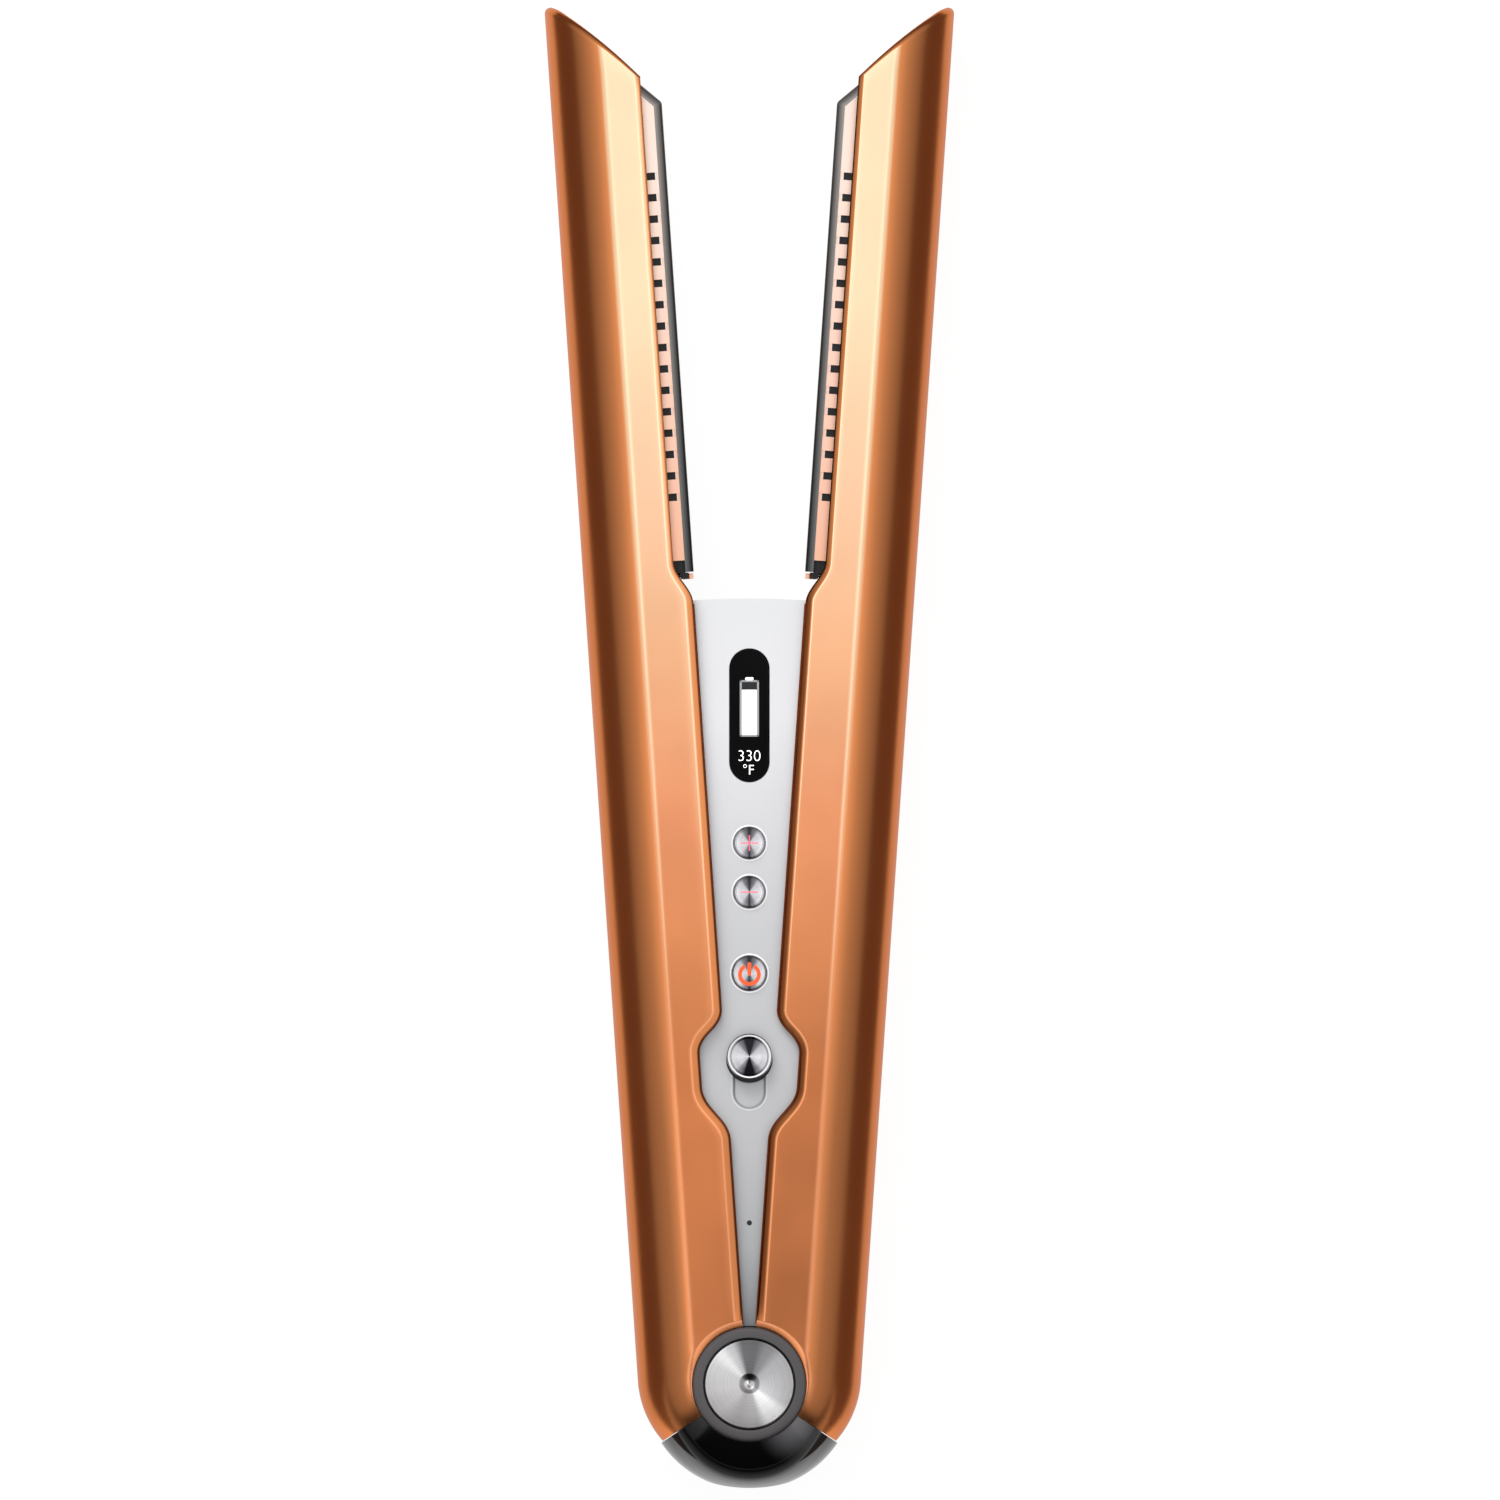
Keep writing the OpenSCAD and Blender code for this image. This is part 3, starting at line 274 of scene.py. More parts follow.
def grain(tree, shader, size, depth, place=None):
    """A fine bump of irregular bumps of the given size and depth in millimetres."""
    if place is None:
        place = add_node(tree, "ShaderNodeTexCoord").outputs["Object"]
    noise = add_node(tree, "ShaderNodeTexNoise", {"Vector": place, "Scale": 1 / (size * MM),
                                                  "Detail": 2.0, "Roughness": 0.5})
    bump = add_node(tree, "ShaderNodeBump", {"Height": noise.outputs[0], "Strength": 1.0,
                                             "Distance": depth * MM})
    tree.links.new(bump.outputs[0], shader.inputs["Normal"])
    return noise


def uneven(tree, shader, size, dark, light, rough_low, rough_high):
    """Slow changes of colour and roughness over the given size, as handling and moulding
    leave them."""
    place = add_node(tree, "ShaderNodeTexCoord").outputs["Object"]
    noise = add_node(tree, "ShaderNodeTexNoise", {"Vector": place, "Scale": 1 / (size * MM),
                                                  "Detail": 3.0})
    mix = add_node(tree, "ShaderNodeMix", {0: noise.outputs[0], 6: linear(dark),
                                           7: linear(light)}, data_type="RGBA")
    rough = add_node(tree, "ShaderNodeMapRange", {0: noise.outputs[0], 1: 0.3, 2: 0.7,
                                                  3: rough_low, 4: rough_high})
    tree.links.new(mix.outputs[2], shader.inputs["Base Color"])
    tree.links.new(rough.outputs[0], shader.inputs["Roughness"])
    return mix


# ---------------------------------------------------------------- finishes

def copper_lacquer():
    """Aluminium with a satin copper metallising. Light and shade are painted into its colour: a painted highlight
    makes the flat faces paler towards the tips and paler still along the crown beside the crease, and painted
    shade darkens the rounded sides near the hinge and the steep inward faces of the lips. Its fine grain blurs
    reflections a little."""
    material, tree, shader = new_material("satin_copper_metallising", "#f4a070", 1.0, 0.19,
                                          Specular_Tint=linear("#ffd6c0"))
    coords = add_node(tree, "ShaderNodeTexCoord")
    place = coords.outputs["Object"]
    along = add_node(tree, "ShaderNodeSeparateXYZ", {0: place}).outputs[1]
    facing = add_node(tree, "ShaderNodeSeparateXYZ", {0: coords.outputs["Normal"]}).outputs[2]
    facing = add_node(tree, "ShaderNodeMath", {0: facing}, operation="ABSOLUTE")
    # painted highlight: flat faces turn paler towards the tips, and paler still where they lean a little next to
    # the crease
    reach = add_node(tree, "ShaderNodeMapRange", {0: along, 1: 60 * MM, 2: 235 * MM})
    leaning = add_node(tree, "ShaderNodeMapRange", {0: facing.outputs[0], 1: 0.9999, 2: 0.9985})
    upright = add_node(tree, "ShaderNodeMapRange", {0: facing.outputs[0], 1: 0.982, 2: 0.992})
    edge = add_node(tree, "ShaderNodeMath", {0: leaning.outputs[0], 1: upright.outputs[0]},
                    operation="MULTIPLY")
    reach = add_node(tree, "ShaderNodeMath", {0: edge.outputs[0], 1: 0.3, 2: reach.outputs[0]},
                     operation="MULTIPLY_ADD")
    painted_highlight_tone = add_node(tree, "ShaderNodeValToRGB", {0: reach.outputs[0]})
    fill_ramp(painted_highlight_tone, {0: "#e58b57", 0.12: "#f19863", 0.29: "#f7a273", 0.46: "#fbbb8d",
                     0.63: "#fdcca6", 0.8: "#fddcb4", 1: "#fee4bd"})
    # flat faces take the painted highlight tone; the rounded sides darken towards the hinge as painted shade
    flat = add_node(tree, "ShaderNodeMapRange", {0: facing.outputs[0], 1: 0.972, 2: 0.994})
    shoulder = add_node(tree, "ShaderNodeMapRange", {0: facing.outputs[0], 1: 0.75, 2: 0.9})
    handle = add_node(tree, "ShaderNodeMapRange", {0: along, 1: 110 * MM, 2: 45 * MM,
                                                   4: shoulder.outputs[0]})
    painted_side_shade = add_node(tree, "ShaderNodeMix", {0: handle.outputs[0], 6: linear("#f69a5e"),
                                            7: linear("#dd8b56")}, data_type="RGBA")
    tone = add_node(tree, "ShaderNodeMix", {0: flat.outputs[0], 6: painted_side_shade.outputs[2],
                                            7: painted_highlight_tone.outputs[0]}, data_type="RGBA")
    # painted shade: a dark brown on faces that turn in towards the middle, down the steep lips
    side = add_node(tree, "ShaderNodeSeparateXYZ", {0: place}).outputs[0]
    side = add_node(tree, "ShaderNodeMath", {0: side}, operation="SIGN")
    across = add_node(tree, "ShaderNodeSeparateXYZ", {0: coords.outputs["Normal"]}).outputs[0]
    outward = add_node(tree, "ShaderNodeMath", {0: across, 1: side.outputs[0]},
                       operation="MULTIPLY")
    lip = add_node(tree, "ShaderNodeMapRange", {0: outward.outputs[0], 1: -0.38, 2: -0.8})
    tone = add_node(tree, "ShaderNodeMix", {0: lip.outputs[0], 6: tone.outputs[2],
                                            7: linear("#7a3312")}, data_type="RGBA")
    cloud = add_node(tree, "ShaderNodeTexNoise", {"Vector": place, "Scale": 1 / (24 * MM),
                                                  "Detail": 2.0})
    shade = add_node(tree, "ShaderNodeMapRange", {0: cloud.outputs[0], 1: 0.3, 2: 0.7,
                                                  3: 0.97, 4: 1.0})
    body = add_node(tree, "ShaderNodeMix", {0: 1.0, 6: tone.outputs[2], 7: shade.outputs[0]},
                    data_type="RGBA", blend_type="MULTIPLY")
    tree.links.new(body.outputs[2], shader.inputs["Base Color"])
    rough = add_node(tree, "ShaderNodeMapRange", {0: cloud.outputs[0], 1: 0.3, 2: 0.7,
                                                  3: 0.22, 4: 0.27})
    tree.links.new(rough.outputs[0], shader.inputs["Roughness"])
    grain(tree, shader, 0.25, 0.0006, place)
    return material


def panel_paint():
    """ABS painted a satin silver grey: fine mica in the paint gives it a soft sheen. Light and shade are painted
    into its colour: paler beside the display, darker down by the hinge."""
    material, tree, shader = new_material("silver_paint_on_abs", "#cfd0d3", 0.25, 0.42)
    cloud = uneven(tree, shader, 30, "#f7f7f8", "#ffffff", 0.40, 0.46)
    place = add_node(tree, "ShaderNodeTexCoord").outputs["Object"]
    along = add_node(tree, "ShaderNodeSeparateXYZ", {0: place}).outputs[1]
    # painted light and shade along the panel, darkest at the hinge
    reach = add_node(tree, "ShaderNodeMapRange", {0: along, 1: 12 * MM, 2: 150 * MM})
    painted_light_falloff = add_node(tree, "ShaderNodeValToRGB", {0: reach.outputs[0]})
    fill_ramp(painted_light_falloff, {0: "#9c9fa2", 0.1: "#bfc1c3", 0.24: "#cdced0", 0.55: "#d4d5d7",
                     0.67: "#dcdcdf", 0.85: "#e8e8ea", 1: "#e1e2e4"})
    body = add_node(tree, "ShaderNodeMix", {0: 1.0, 6: painted_light_falloff.outputs[0], 7: cloud.outputs[2]},
                    data_type="RGBA", blend_type="MULTIPLY")
    tree.links.new(body.outputs[2], shader.inputs["Base Color"])
    grain(tree, shader, 0.18, 0.0008)
    return material


def moulded(name, dark, light, roughness, size, depth, **sockets):
    """Injection-moulded plastic with a spark-eroded grain of the given size and depth."""
    material, tree, shader = new_material(name, dark, 0.0, roughness, **sockets)
    uneven(tree, shader, 12, dark, light, roughness - 0.04, roughness + 0.05)
    grain(tree, shader, size, depth)
    return material


def spun(name, centre, tones, roughness=0.26, pitch=0.3):
    """Steel turned on a lathe: rings of fine grooves spread each reflection across them. Fans of painted
    reflection that meet at its centre are painted into its colour as well; their tones go by the share of the way
    round it, from 0 at -X by way of -Y to 1. The real grooves are finer; these still show."""
    material, tree, shader = new_material(name, "#d8d8dc", 1.0, roughness, Anisotropic=0.5)
    tangent = add_node(tree, "ShaderNodeTangent", direction_type="RADIAL", axis="Z")
    tree.links.new(tangent.outputs[0], shader.inputs["Tangent"])
    place = add_node(tree, "ShaderNodeTexCoord").outputs["Object"]
    moved = add_node(tree, "ShaderNodeVectorMath", {0: place, 1: (*(-np.array(centre) * MM), 0)},
                     operation="ADD")
    flat = add_node(tree, "ShaderNodeVectorMath", {0: moved.outputs[0], 1: (1, 1, 0)},
                    operation="MULTIPLY")
    radius = add_node(tree, "ShaderNodeVectorMath", {0: flat.outputs[0]}, operation="LENGTH")
    rings = add_node(tree, "ShaderNodeTexNoise", {"W": radius.outputs["Value"],
                                                  "Scale": 1 / (pitch * MM), "Detail": 1.0},
                     noise_dimensions="1D")
    bump = add_node(tree, "ShaderNodeBump", {"Height": rings.outputs[0], "Strength": 1.0,
                                             "Distance": 0.004 * MM})
    tree.links.new(bump.outputs[0], shader.inputs["Normal"])
    # painted reflection: bright and dark fans by the angle round the centre
    around = add_node(tree, "ShaderNodeTexGradient", {0: flat.outputs[0]}, gradient_type="RADIAL")
    fans = add_node(tree, "ShaderNodeValToRGB", {0: around.outputs[1]})
    fans.color_ramp.interpolation = "EASE"
    fill_ramp(fans, tones)
    streak = add_node(tree, "ShaderNodeMapRange", {0: rings.outputs[0], 1: 0.3, 2: 0.7,
                                                   3: 0.9, 4: 1.0})
    tone = add_node(tree, "ShaderNodeMix", {0: 1.0, 6: fans.outputs[0], 7: streak.outputs[0]},
                    data_type="RGBA", blend_type="MULTIPLY")
    tree.links.new(tone.outputs[2], shader.inputs["Base Color"])
    return material


# painted reflections: bright fans to both sides and dark ones up and down the handle
KNOB_PAINTED_FANS = {0: "#f4f4f8", 0.10: "#dedee2", 0.165: "#86868c", 0.21: "#1c1c20", 0.29: "#1c1c20",
             0.335: "#86868c", 0.40: "#dedee2", 0.50: "#f6f6fa", 0.60: "#dedee2",
             0.665: "#86868c", 0.715: "#303036", 0.785: "#303036", 0.835: "#86868c",
             0.90: "#dedee2", 1: "#f4f4f8"}
BUTTON_PAINTED_FANS = {0: "#ececf0", 0.12: "#dcdce0", 0.21: "#7e7e84", 0.25: "#3a3a40", 0.29: "#7e7e84",
               0.38: "#dcdce0", 0.50: "#f0f0f4", 0.62: "#dcdce0", 0.69: "#7e7e84",
               0.75: "#3c3c42", 0.81: "#7e7e84", 0.88: "#dcdce0", 1: "#ececf0"}
# painted reflections: broad soft fans, brightest below on the right and above on the left
HINGE_PAINTED_FANS = {0: "#dcdadb", 0.10: "#c9c6c7", 0.20: "#aaa7a8", 0.28: "#b2b0b1", 0.335: "#f0f0f1",
              0.385: "#ffffff", 0.43: "#d8d7d9", 0.50: "#d0cfd1", 0.60: "#c4c3c5",
              0.67: "#98979a", 0.725: "#747476", 0.775: "#767678", 0.825: "#d6d6d8",
              0.87: "#ffffff", 0.93: "#e4e3e4", 1: "#dcdadb"}


def plain_metal(name, dark, light, roughness, size=0.3):
    """Metal part with a faint machined or pressed grain."""
    material, tree, shader = new_material(name, dark, 1.0, roughness)
    uneven(tree, shader, 6, dark, light, roughness - 0.05, roughness + 0.06)
    grain(tree, shader, size, 0.0015)
    return material


def gloss_black():
    """Piano-black ABS, polished in the mould: clear, deep reflections, and a painted grey reflection on the cap
    beside the right arm, below the hinge ring."""
    material, tree, shader = new_material("piano_black_abs", "#040404", 0.0, 0.1, IOR=1.56)
    clear = uneven(tree, shader, 20, "#050506", "#0a0a0b", 0.07, 0.11)
    place = add_node(tree, "ShaderNodeTexCoord").outputs["Object"]
    # painted reflection: a soft grey patch round this spot, fading out over 8.5 mm
    spot = add_node(tree, "ShaderNodeVectorMath", {0: place, 1: (9.2 * MM, -8.0 * MM, DEPTH * MM)},
                    operation="DISTANCE")
    painted_reflection = add_node(tree, "ShaderNodeMapRange", {0: spot.outputs["Value"], 1: 8.5 * MM,
                                                 2: 0.5 * MM}, interpolation_type="SMOOTHSTEP")
    mix = add_node(tree, "ShaderNodeMix", {0: painted_reflection.outputs[0], 6: clear.outputs[2],
                                           7: linear("#6a686b")}, data_type="RGBA")
    tree.links.new(mix.outputs[2], shader.inputs["Base Color"])
    grain(tree, shader, 2.5, 0.0012)
    return material


def display_glass():
    """Smoked acrylic window over the display: black, with a polished face."""
    material, tree, shader = new_material("smoked_acrylic", "#050506", 0.0, 0.12, IOR=1.16)
    uneven(tree, shader, 15, "#030303", "#0a0a0b", 0.10, 0.16)
    grain(tree, shader, 3.0, 0.0008)
    return material


def lit(name, colour, strength):
    """A legend that a small lamp shines through: a thin diffusing film that glows."""
    material, tree, shader = new_material(name, colour, 0.0, 0.5)
    shader.inputs["Emission Color"].default_value = linear(colour)
    shader.inputs["Emission Strength"].default_value = strength
    uneven(tree, shader, 1.5, colour, colour, 0.45, 0.6)
    return material


def plate_alloy():
    """Soft-polished copper alloy of the flexing plates: rosy, paler towards the tips."""
    material, tree, shader = new_material("copper_alloy_sheet", "#f0bfa4", 1.0, 0.3)
    place = add_node(tree, "ShaderNodeTexCoord").outputs["Object"]
    along = add_node(tree, "ShaderNodeSeparateXYZ", {0: place}).outputs[1]
    reach = add_node(tree, "ShaderNodeMapRange", {0: along, 1: 155 * MM, 2: 235 * MM})
    tone = add_node(tree, "ShaderNodeMix", {0: reach.outputs[0], 6: linear("#f6b99b"),
                                            7: linear("#fde4d6")}, data_type="RGBA")
    tree.links.new(tone.outputs[2], shader.inputs["Base Color"])
    grain(tree, shader, 0.3, 0.001, place)
    return material


def plate_coating():
    """Hard dark ceramic coating on the plate faces: satin, nearly neutral, paler towards the tips and near black
    where the face turns steep."""
    material, tree, shader = new_material("dark_ceramic_coating", "#6a6d70", 0.8, 0.3)
    cloud = uneven(tree, shader, 9, "#eeeeee", "#ffffff", 0.27, 0.34)
    coords = add_node(tree, "ShaderNodeTexCoord")
    along = add_node(tree, "ShaderNodeSeparateXYZ", {0: coords.outputs["Object"]}).outputs[1]
    facing = add_node(tree, "ShaderNodeSeparateXYZ", {0: coords.outputs["Normal"]}).outputs[2]
    facing = add_node(tree, "ShaderNodeMath", {0: facing}, operation="ABSOLUTE")
    reach = add_node(tree, "ShaderNodeMapRange", {0: along, 1: 155 * MM, 2: 245 * MM})
    paler_to_tips = add_node(tree, "ShaderNodeMix", {0: reach.outputs[0], 6: linear("#616364"),
                                            7: linear("#918c88")}, data_type="RGBA")
    steep = add_node(tree, "ShaderNodeMapRange", {0: facing.outputs[0], 1: 0.7, 2: 0.3})
    tone = add_node(tree, "ShaderNodeMix", {0: steep.outputs[0], 6: paler_to_tips.outputs[2],
                                            7: linear("#1c1a1b")}, data_type="RGBA")
    body = add_node(tree, "ShaderNodeMix", {0: 1.0, 6: tone.outputs[2], 7: cloud.outputs[2]},
                    data_type="RGBA", blend_type="MULTIPLY")
    tree.links.new(body.outputs[2], shader.inputs["Base Color"])
    grain(tree, shader, 0.12, 0.0012)
    return material


def board_laminate():
    """Green solder mask over copper tracks on glass-epoxy laminate."""
    material, tree, shader = new_material("solder_masked_laminate", "#1f4d36", 0.0, 0.35)
    place = add_node(tree, "ShaderNodeTexCoord").outputs["Object"]
    tracks = add_node(tree, "ShaderNodeTexBrick", {
        "Vector": place, "Color1": linear("#1f4d36"), "Color2": linear("#1b4430"),
        "Mortar": linear("#3c7a55"), "Scale": 1 / (3 * MM), "Mortar Size": 0.06})
    tree.links.new(tracks.outputs[0], shader.inputs["Base Color"])
    grain(tree, shader, 0.4, 0.002, place)
    return material


def cell_wrap():
    """Heat-shrunk PVC sleeve of a battery cell: glossy, slightly wrinkled."""
    material, tree, shader = new_material("shrink_sleeve_pvc", "#33567f", 0.0, 0.3)
    uneven(tree, shader, 8, "#2e4f78", "#3d638f", 0.24, 0.38)
    grain(tree, shader, 2.0, 0.03)
    return material


def heater_film():
    """Polyimide film over an etched heating foil: amber, with darker tracks."""
    material, tree, shader = new_material("polyimide_film", "#b9822f", 0.0, 0.3)
    place = add_node(tree, "ShaderNodeTexCoord").outputs["Object"]
    tracks = add_node(tree, "ShaderNodeTexWave", {"Vector": place, "Scale": 1 / (6 * MM),
                                                  "Distortion": 0.0}, bands_direction="Z")
    mix = add_node(tree, "ShaderNodeMix", {0: tracks.outputs[1], 6: linear("#8a5a20"),
                                           7: linear("#c9913a")}, data_type="RGBA")
    tree.links.new(mix.outputs[2], shader.inputs["Base Color"])
    grain(tree, shader, 0.5, 0.003, place)
    return material


copper = copper_lacquer()
silver = panel_paint()
piano_black = gloss_black()
glass = display_glass()
alloy = plate_alloy()
coating = plate_coating()
ring_plastic = moulded("grained_charcoal_abs", "#4f4b4d", "#585456", 0.36, 0.15, 0.003)
nylon = moulded("glass_filled_nylon", "#2f2f32", "#3a3a3d", 0.55, 0.35, 0.012)
tray = moulded("heat_proof_pps", "#141416", "#1d1d20", 0.5, 0.25, 0.008)
bush = moulded("white_acetal", "#d9d8d2", "#e6e5e0", 0.4, 0.3, 0.004)
pipe = moulded("milky_acrylic", "#e4e8ea", "#f2f4f5", 0.25, 0.6, 0.002)
# the slot's wall is a darker grey as painted shade, and its rim paler as a painted highlight
slot_wall_painted_shade = moulded("grey_abs_slot_wall_painted_shade", "#adb0b4", "#b5b8bc", 0.5, 0.3, 0.003)
slot_rim_painted_highlight = moulded("abs_slot_rim_painted_highlight", "#e0e2e4", "#e8e9eb", 0.45, 0.3, 0.002)
# dark brown for the strips along the lips: painted shadow in the gap to the control body
lip_shadow_finish = moulded("dark_brown_shadow_strip", "#662a10", "#703014", 0.7, 0.3, 0.002, IOR=1.3)
steel = plain_metal("pressed_steel", "#9a9ca0", "#b4b6ba", 0.34)
cut_edge = plain_metal("diamond_cut_aluminium_edge", "#f4f4f6", "#fcfcfd", 0.3, 0.2)
nickel = plain_metal("polished_nickel_ring", "#8d8f93", "#a9abaf", 0.22)
gold = plain_metal("gold_plated_contact", "#d2a04a", "#e2b765", 0.25)
laminate = board_laminate()
sleeve = cell_wrap()
film = heater_film()
lit_white = lit("white_display_segment", "#f4f6f8", 1.0)
dim_segment = lit("unlit_display_segment", "#18181a", 0.0)
lit_grey = lit("pale_display_segment", "#8f9193", 0.4)
lit_red = lit("rose_legend", "#ee5f78", 0.6)
lit_orange = lit("orange_legend", "#ee5426", 0.5)

SLOT_FINISH = {
    "copper_shell": copper, "panel_plastic": silver, "frame_nylon": nylon,
    "black_gloss": piano_black, "display_glass": glass, "light_pipe": pipe,
    "spun_metal": steel, "steel": steel, "ring_grey": ring_plastic, "socket_metal": nickel,
    "bush_plastic": bush, "battery_wrap": sleeve, "circuit_board": laminate,
    "contact_gold": gold, "plate_copper": alloy, "plate_gunmetal": coating,
    "tray_black": tray, "heater_film": film,
}
for row in frame["record"]["subparts"]:
    for place in nodes[row["node"]].material_slots:
        place.material = SLOT_FINISH[row["material_slot"]]
nodes["status_light"].material_slots[0].material = tray


# ---------------------------------------------------------------- camera, straight above

camera = bpy.data.objects.new("camera", bpy.data.cameras.new("camera"))
camera.data.type = "ORTHO"
camera.data.ortho_scale = 290.25 * MM
camera.location = (0.12 * MM, 122.7 * MM, 800 * MM)
camera.data.clip_end = 20
bpy.context.scene.collection.objects.link(camera)
bpy.context.scene.camera = camera


# ---------------------------------------------------------------- arm shells

def front(rho, inset=0.0):
    """Height of the front at rho from the middle: flat with a soft crown next to the crease,
    then an ellipse about SIDE_CENTRE. All of it is taken in by inset."""
    across = HALF_WIDTH - SIDE_CENTRE - inset
    up = MID - inset
    out = np.clip((rho - SIDE_CENTRE) / across, 0, 1)
    drop = MID * (1 - math.sqrt(1 - ((CREASE - SIDE_CENTRE) / (HALF_WIDTH - SIDE_CENTRE)) ** 2))
    crown = drop * np.clip((rho - CREASE + CROWN) / CROWN, 0, 1) ** 4
    side = MID + up * np.sqrt(1 - out ** 2)
    return np.where(rho <= CREASE, MID + up - crown * (inset == 0), side)


def end_angle(rho):
    """Angle round the turning centre at which radius rho meets the cut line to the end cap."""
    reach = TURN[0] * math.sin(CUT) + TURN[1] * math.cos(CUT)
    return CUT + np.arcsin(reach / (rho - TURN[0]))


def bend(rho, v):
    """Arm space x and y of the point at rho from the middle. v is the distance along the
    straight part, and from 0 to -1 it goes round the turned end to the cut."""
    angle = -v * end_angle(np.maximum(rho, TURN[0] + 6))
    straight = v >= 0
    x = np.where(straight, rho, TURN[0] + (rho - TURN[0]) * np.cos(angle))
    y = np.where(straight, TURN[1] + v, TURN[1] - (rho - TURN[0]) * np.sin(angle))
    return x, y


def unbend(x, y):
    """rho and v of a point in arm space."""
    straight = y >= TURN[1]
    rho = np.where(straight, x, TURN[0] + np.hypot(x - TURN[0], TURN[1] - y))
    angle = np.arctan2(TURN[1] - y, x - TURN[0])
    return rho, np.where(straight, y - TURN[1], -angle / end_angle(np.maximum(rho, TURN[0] + 6)))


def lip_line(y, recess):
    """Distance of the lip from the middle: along the handle, round the lock knob's recess if
    there is one, and out beside the plates on half a cosine wave."""
    t = np.clip((y - STEP[0]) / (STEP[1] - STEP[0]), 0, 1)
    line = LIP + (PLATE_LIP - LIP) * (1 - np.cos(math.pi * t)) / 2
    if recess:
        spots = y[:, None] + np.linspace(-RECESS_SOFT, RECESS_SOFT, 13)
        line = line + np.interp(spots, *zip(*RECESS)).mean(1)
    return line


def lip_rows(recess):
    """Rows of the shell from the cut at the hinge end to the slant of the tip: the lip's place,
    the step across its bevel, and v. Round the corner between the hinge ring and the handle
    lip, the bevel's inner edge stays at the mitre where its two sides meet."""
    corner = math.acos(LIP / RING_GAP)
    turn = math.asin(TURN[1] / RING_GAP)
    ring = np.concatenate([np.linspace(-CUT, turn, 16)[:-1], np.linspace(turn, corner, 30)])
    ys = np.unique(np.concatenate([
        RING_GAP + np.array([0.15, 0.4, 0.8, 1.3, 2, 3, 4.5, 7]), np.arange(22, 48, 6),
        np.arange(47.5, 73, 0.5), np.arange(76, 148, 6), np.arange(149.5, 161.5, 0.4),
        np.arange(164, TIP_START - 3, 6), [TIP_START]]))
    line = lip_line(ys, recess)
    slope = (lip_line(ys + 0.05, recess) - lip_line(ys - 0.05, recess)) / 0.1
    across = np.stack([np.ones_like(slope), -slope], 1) / np.hypot(1, slope)[:, None]
    place = np.concatenate([RING_GAP * np.stack([np.cos(ring), np.sin(ring)], 1),
                            np.stack([line, ys], 1)])
    away = np.concatenate([np.stack([np.cos(ring), np.sin(ring)], 1), across])
    slim = np.clip((ys - STEP[0]) / (STEP[1] - STEP[0]), 0, 1)
    width = np.concatenate([np.full(len(ring), RING_BEVEL),
                            BEVEL - (BEVEL - PLATE_BEVEL) * slim])
    inner = place + away * width[:, None]
    mitre = np.array([LIP + BEVEL, math.sqrt((RING_GAP + RING_BEVEL) ** 2 - (LIP + BEVEL) ** 2)])
    past = np.arctan2(inner[:, 1], inner[:, 0]) > math.atan2(mitre[1], mitre[0])
    past &= inner[:, 1] < mitre[1] + 1e-6
    late = (inner[:, 1] < mitre[1]) & (np.arange(len(inner)) >= len(ring))
    inner[past | late] = mitre
    _, v = unbend(*place.T)
    v[0] = -1.0
    return place, inner - place, v


def bevel_curve(shares, tilts, steps=15):
    """Share of the width and the drop along the lip's bevel in each row, added up from the
    row's tilts at the given shares."""
    t = np.linspace(0, 1, steps)
    tilt = np.radians([np.interp(t, shares, row) for row in tilts])
    run = np.cumsum((np.cos(tilt[:, 1:]) + np.cos(tilt[:, :-1])) / 2, 1)
    fall = np.cumsum((np.sin(tilt[:, 1:]) + np.sin(tilt[:, :-1])) / 2, 1)
    run, fall = (np.pad(line, ((0, 0), (1, 0))) for line in (run, fall))
    return run / run[:, -1:], (fall[:, -1:] - fall) / run[:, -1:]


def half_section(place, step, v, tilts):
    """Columns of the front half of the shell for each row: the lip's lower edge, its bevel,
    the flat front, the crown and the elliptical side. Gives rho, v and the drop below the
    front for each. The tilts of the bevel blend from the hinge to the handle to the plates."""
    spots = [RING_GAP, RING_GAP + 5, STEP[0], STEP[1]]
    tilts = np.array(tilts)[[0, 1, 2, 2, 3]]
    tilt = np.stack([np.interp(place[:, 1], spots, column) for column in tilts[1:].T], 1)
    run, fall = bevel_curve(tilts[0], tilt)
    reach, drop = (np.pad(line, ((0, 0), (1, 0))) for line in (run, fall))
    drop = drop * np.minimum(BEVEL, np.hypot(*step.T))[:, None]
    rho, vs = unbend(place[:, :1] + step[:, :1] * reach, place[:, 1:] + step[:, 1:] * reach)
    vs[0] = -1.0
    inner = rho[:, -1:]
    edge = np.maximum(CREASE, inner + 0.8)
    start = np.maximum(CREASE - CROWN, (inner + edge) / 2)
    t = np.array([0.34, 0.67, 1.0])
    u = np.array([0.3, 0.55, 0.72, 0.87, 1.0])
    flat = np.concatenate([inner + (start - inner) * t, start + (edge - start) * u], 1)
    mix = (flat - inner) / (edge - inner)
    flat_v = vs[:, -1:] + (v[:, None] - vs[:, -1:]) * mix
    first = np.arccos(np.clip((edge - SIDE_CENTRE) / (HALF_WIDTH - SIDE_CENTRE), 0, 1))
    turn = first * (1 - np.linspace(0, 1, 35)[1:])
    side = SIDE_CENTRE + (HALF_WIDTH - SIDE_CENTRE) * np.cos(turn)
    rho = np.concatenate([rho, flat, side], 1)
    vs = np.concatenate([vs, flat_v, np.repeat(v[:, None], side.shape[1], 1)], 1)
    drop = np.concatenate([drop, np.zeros_like(flat), np.zeros_like(side)], 1)
    return rho, vs, drop


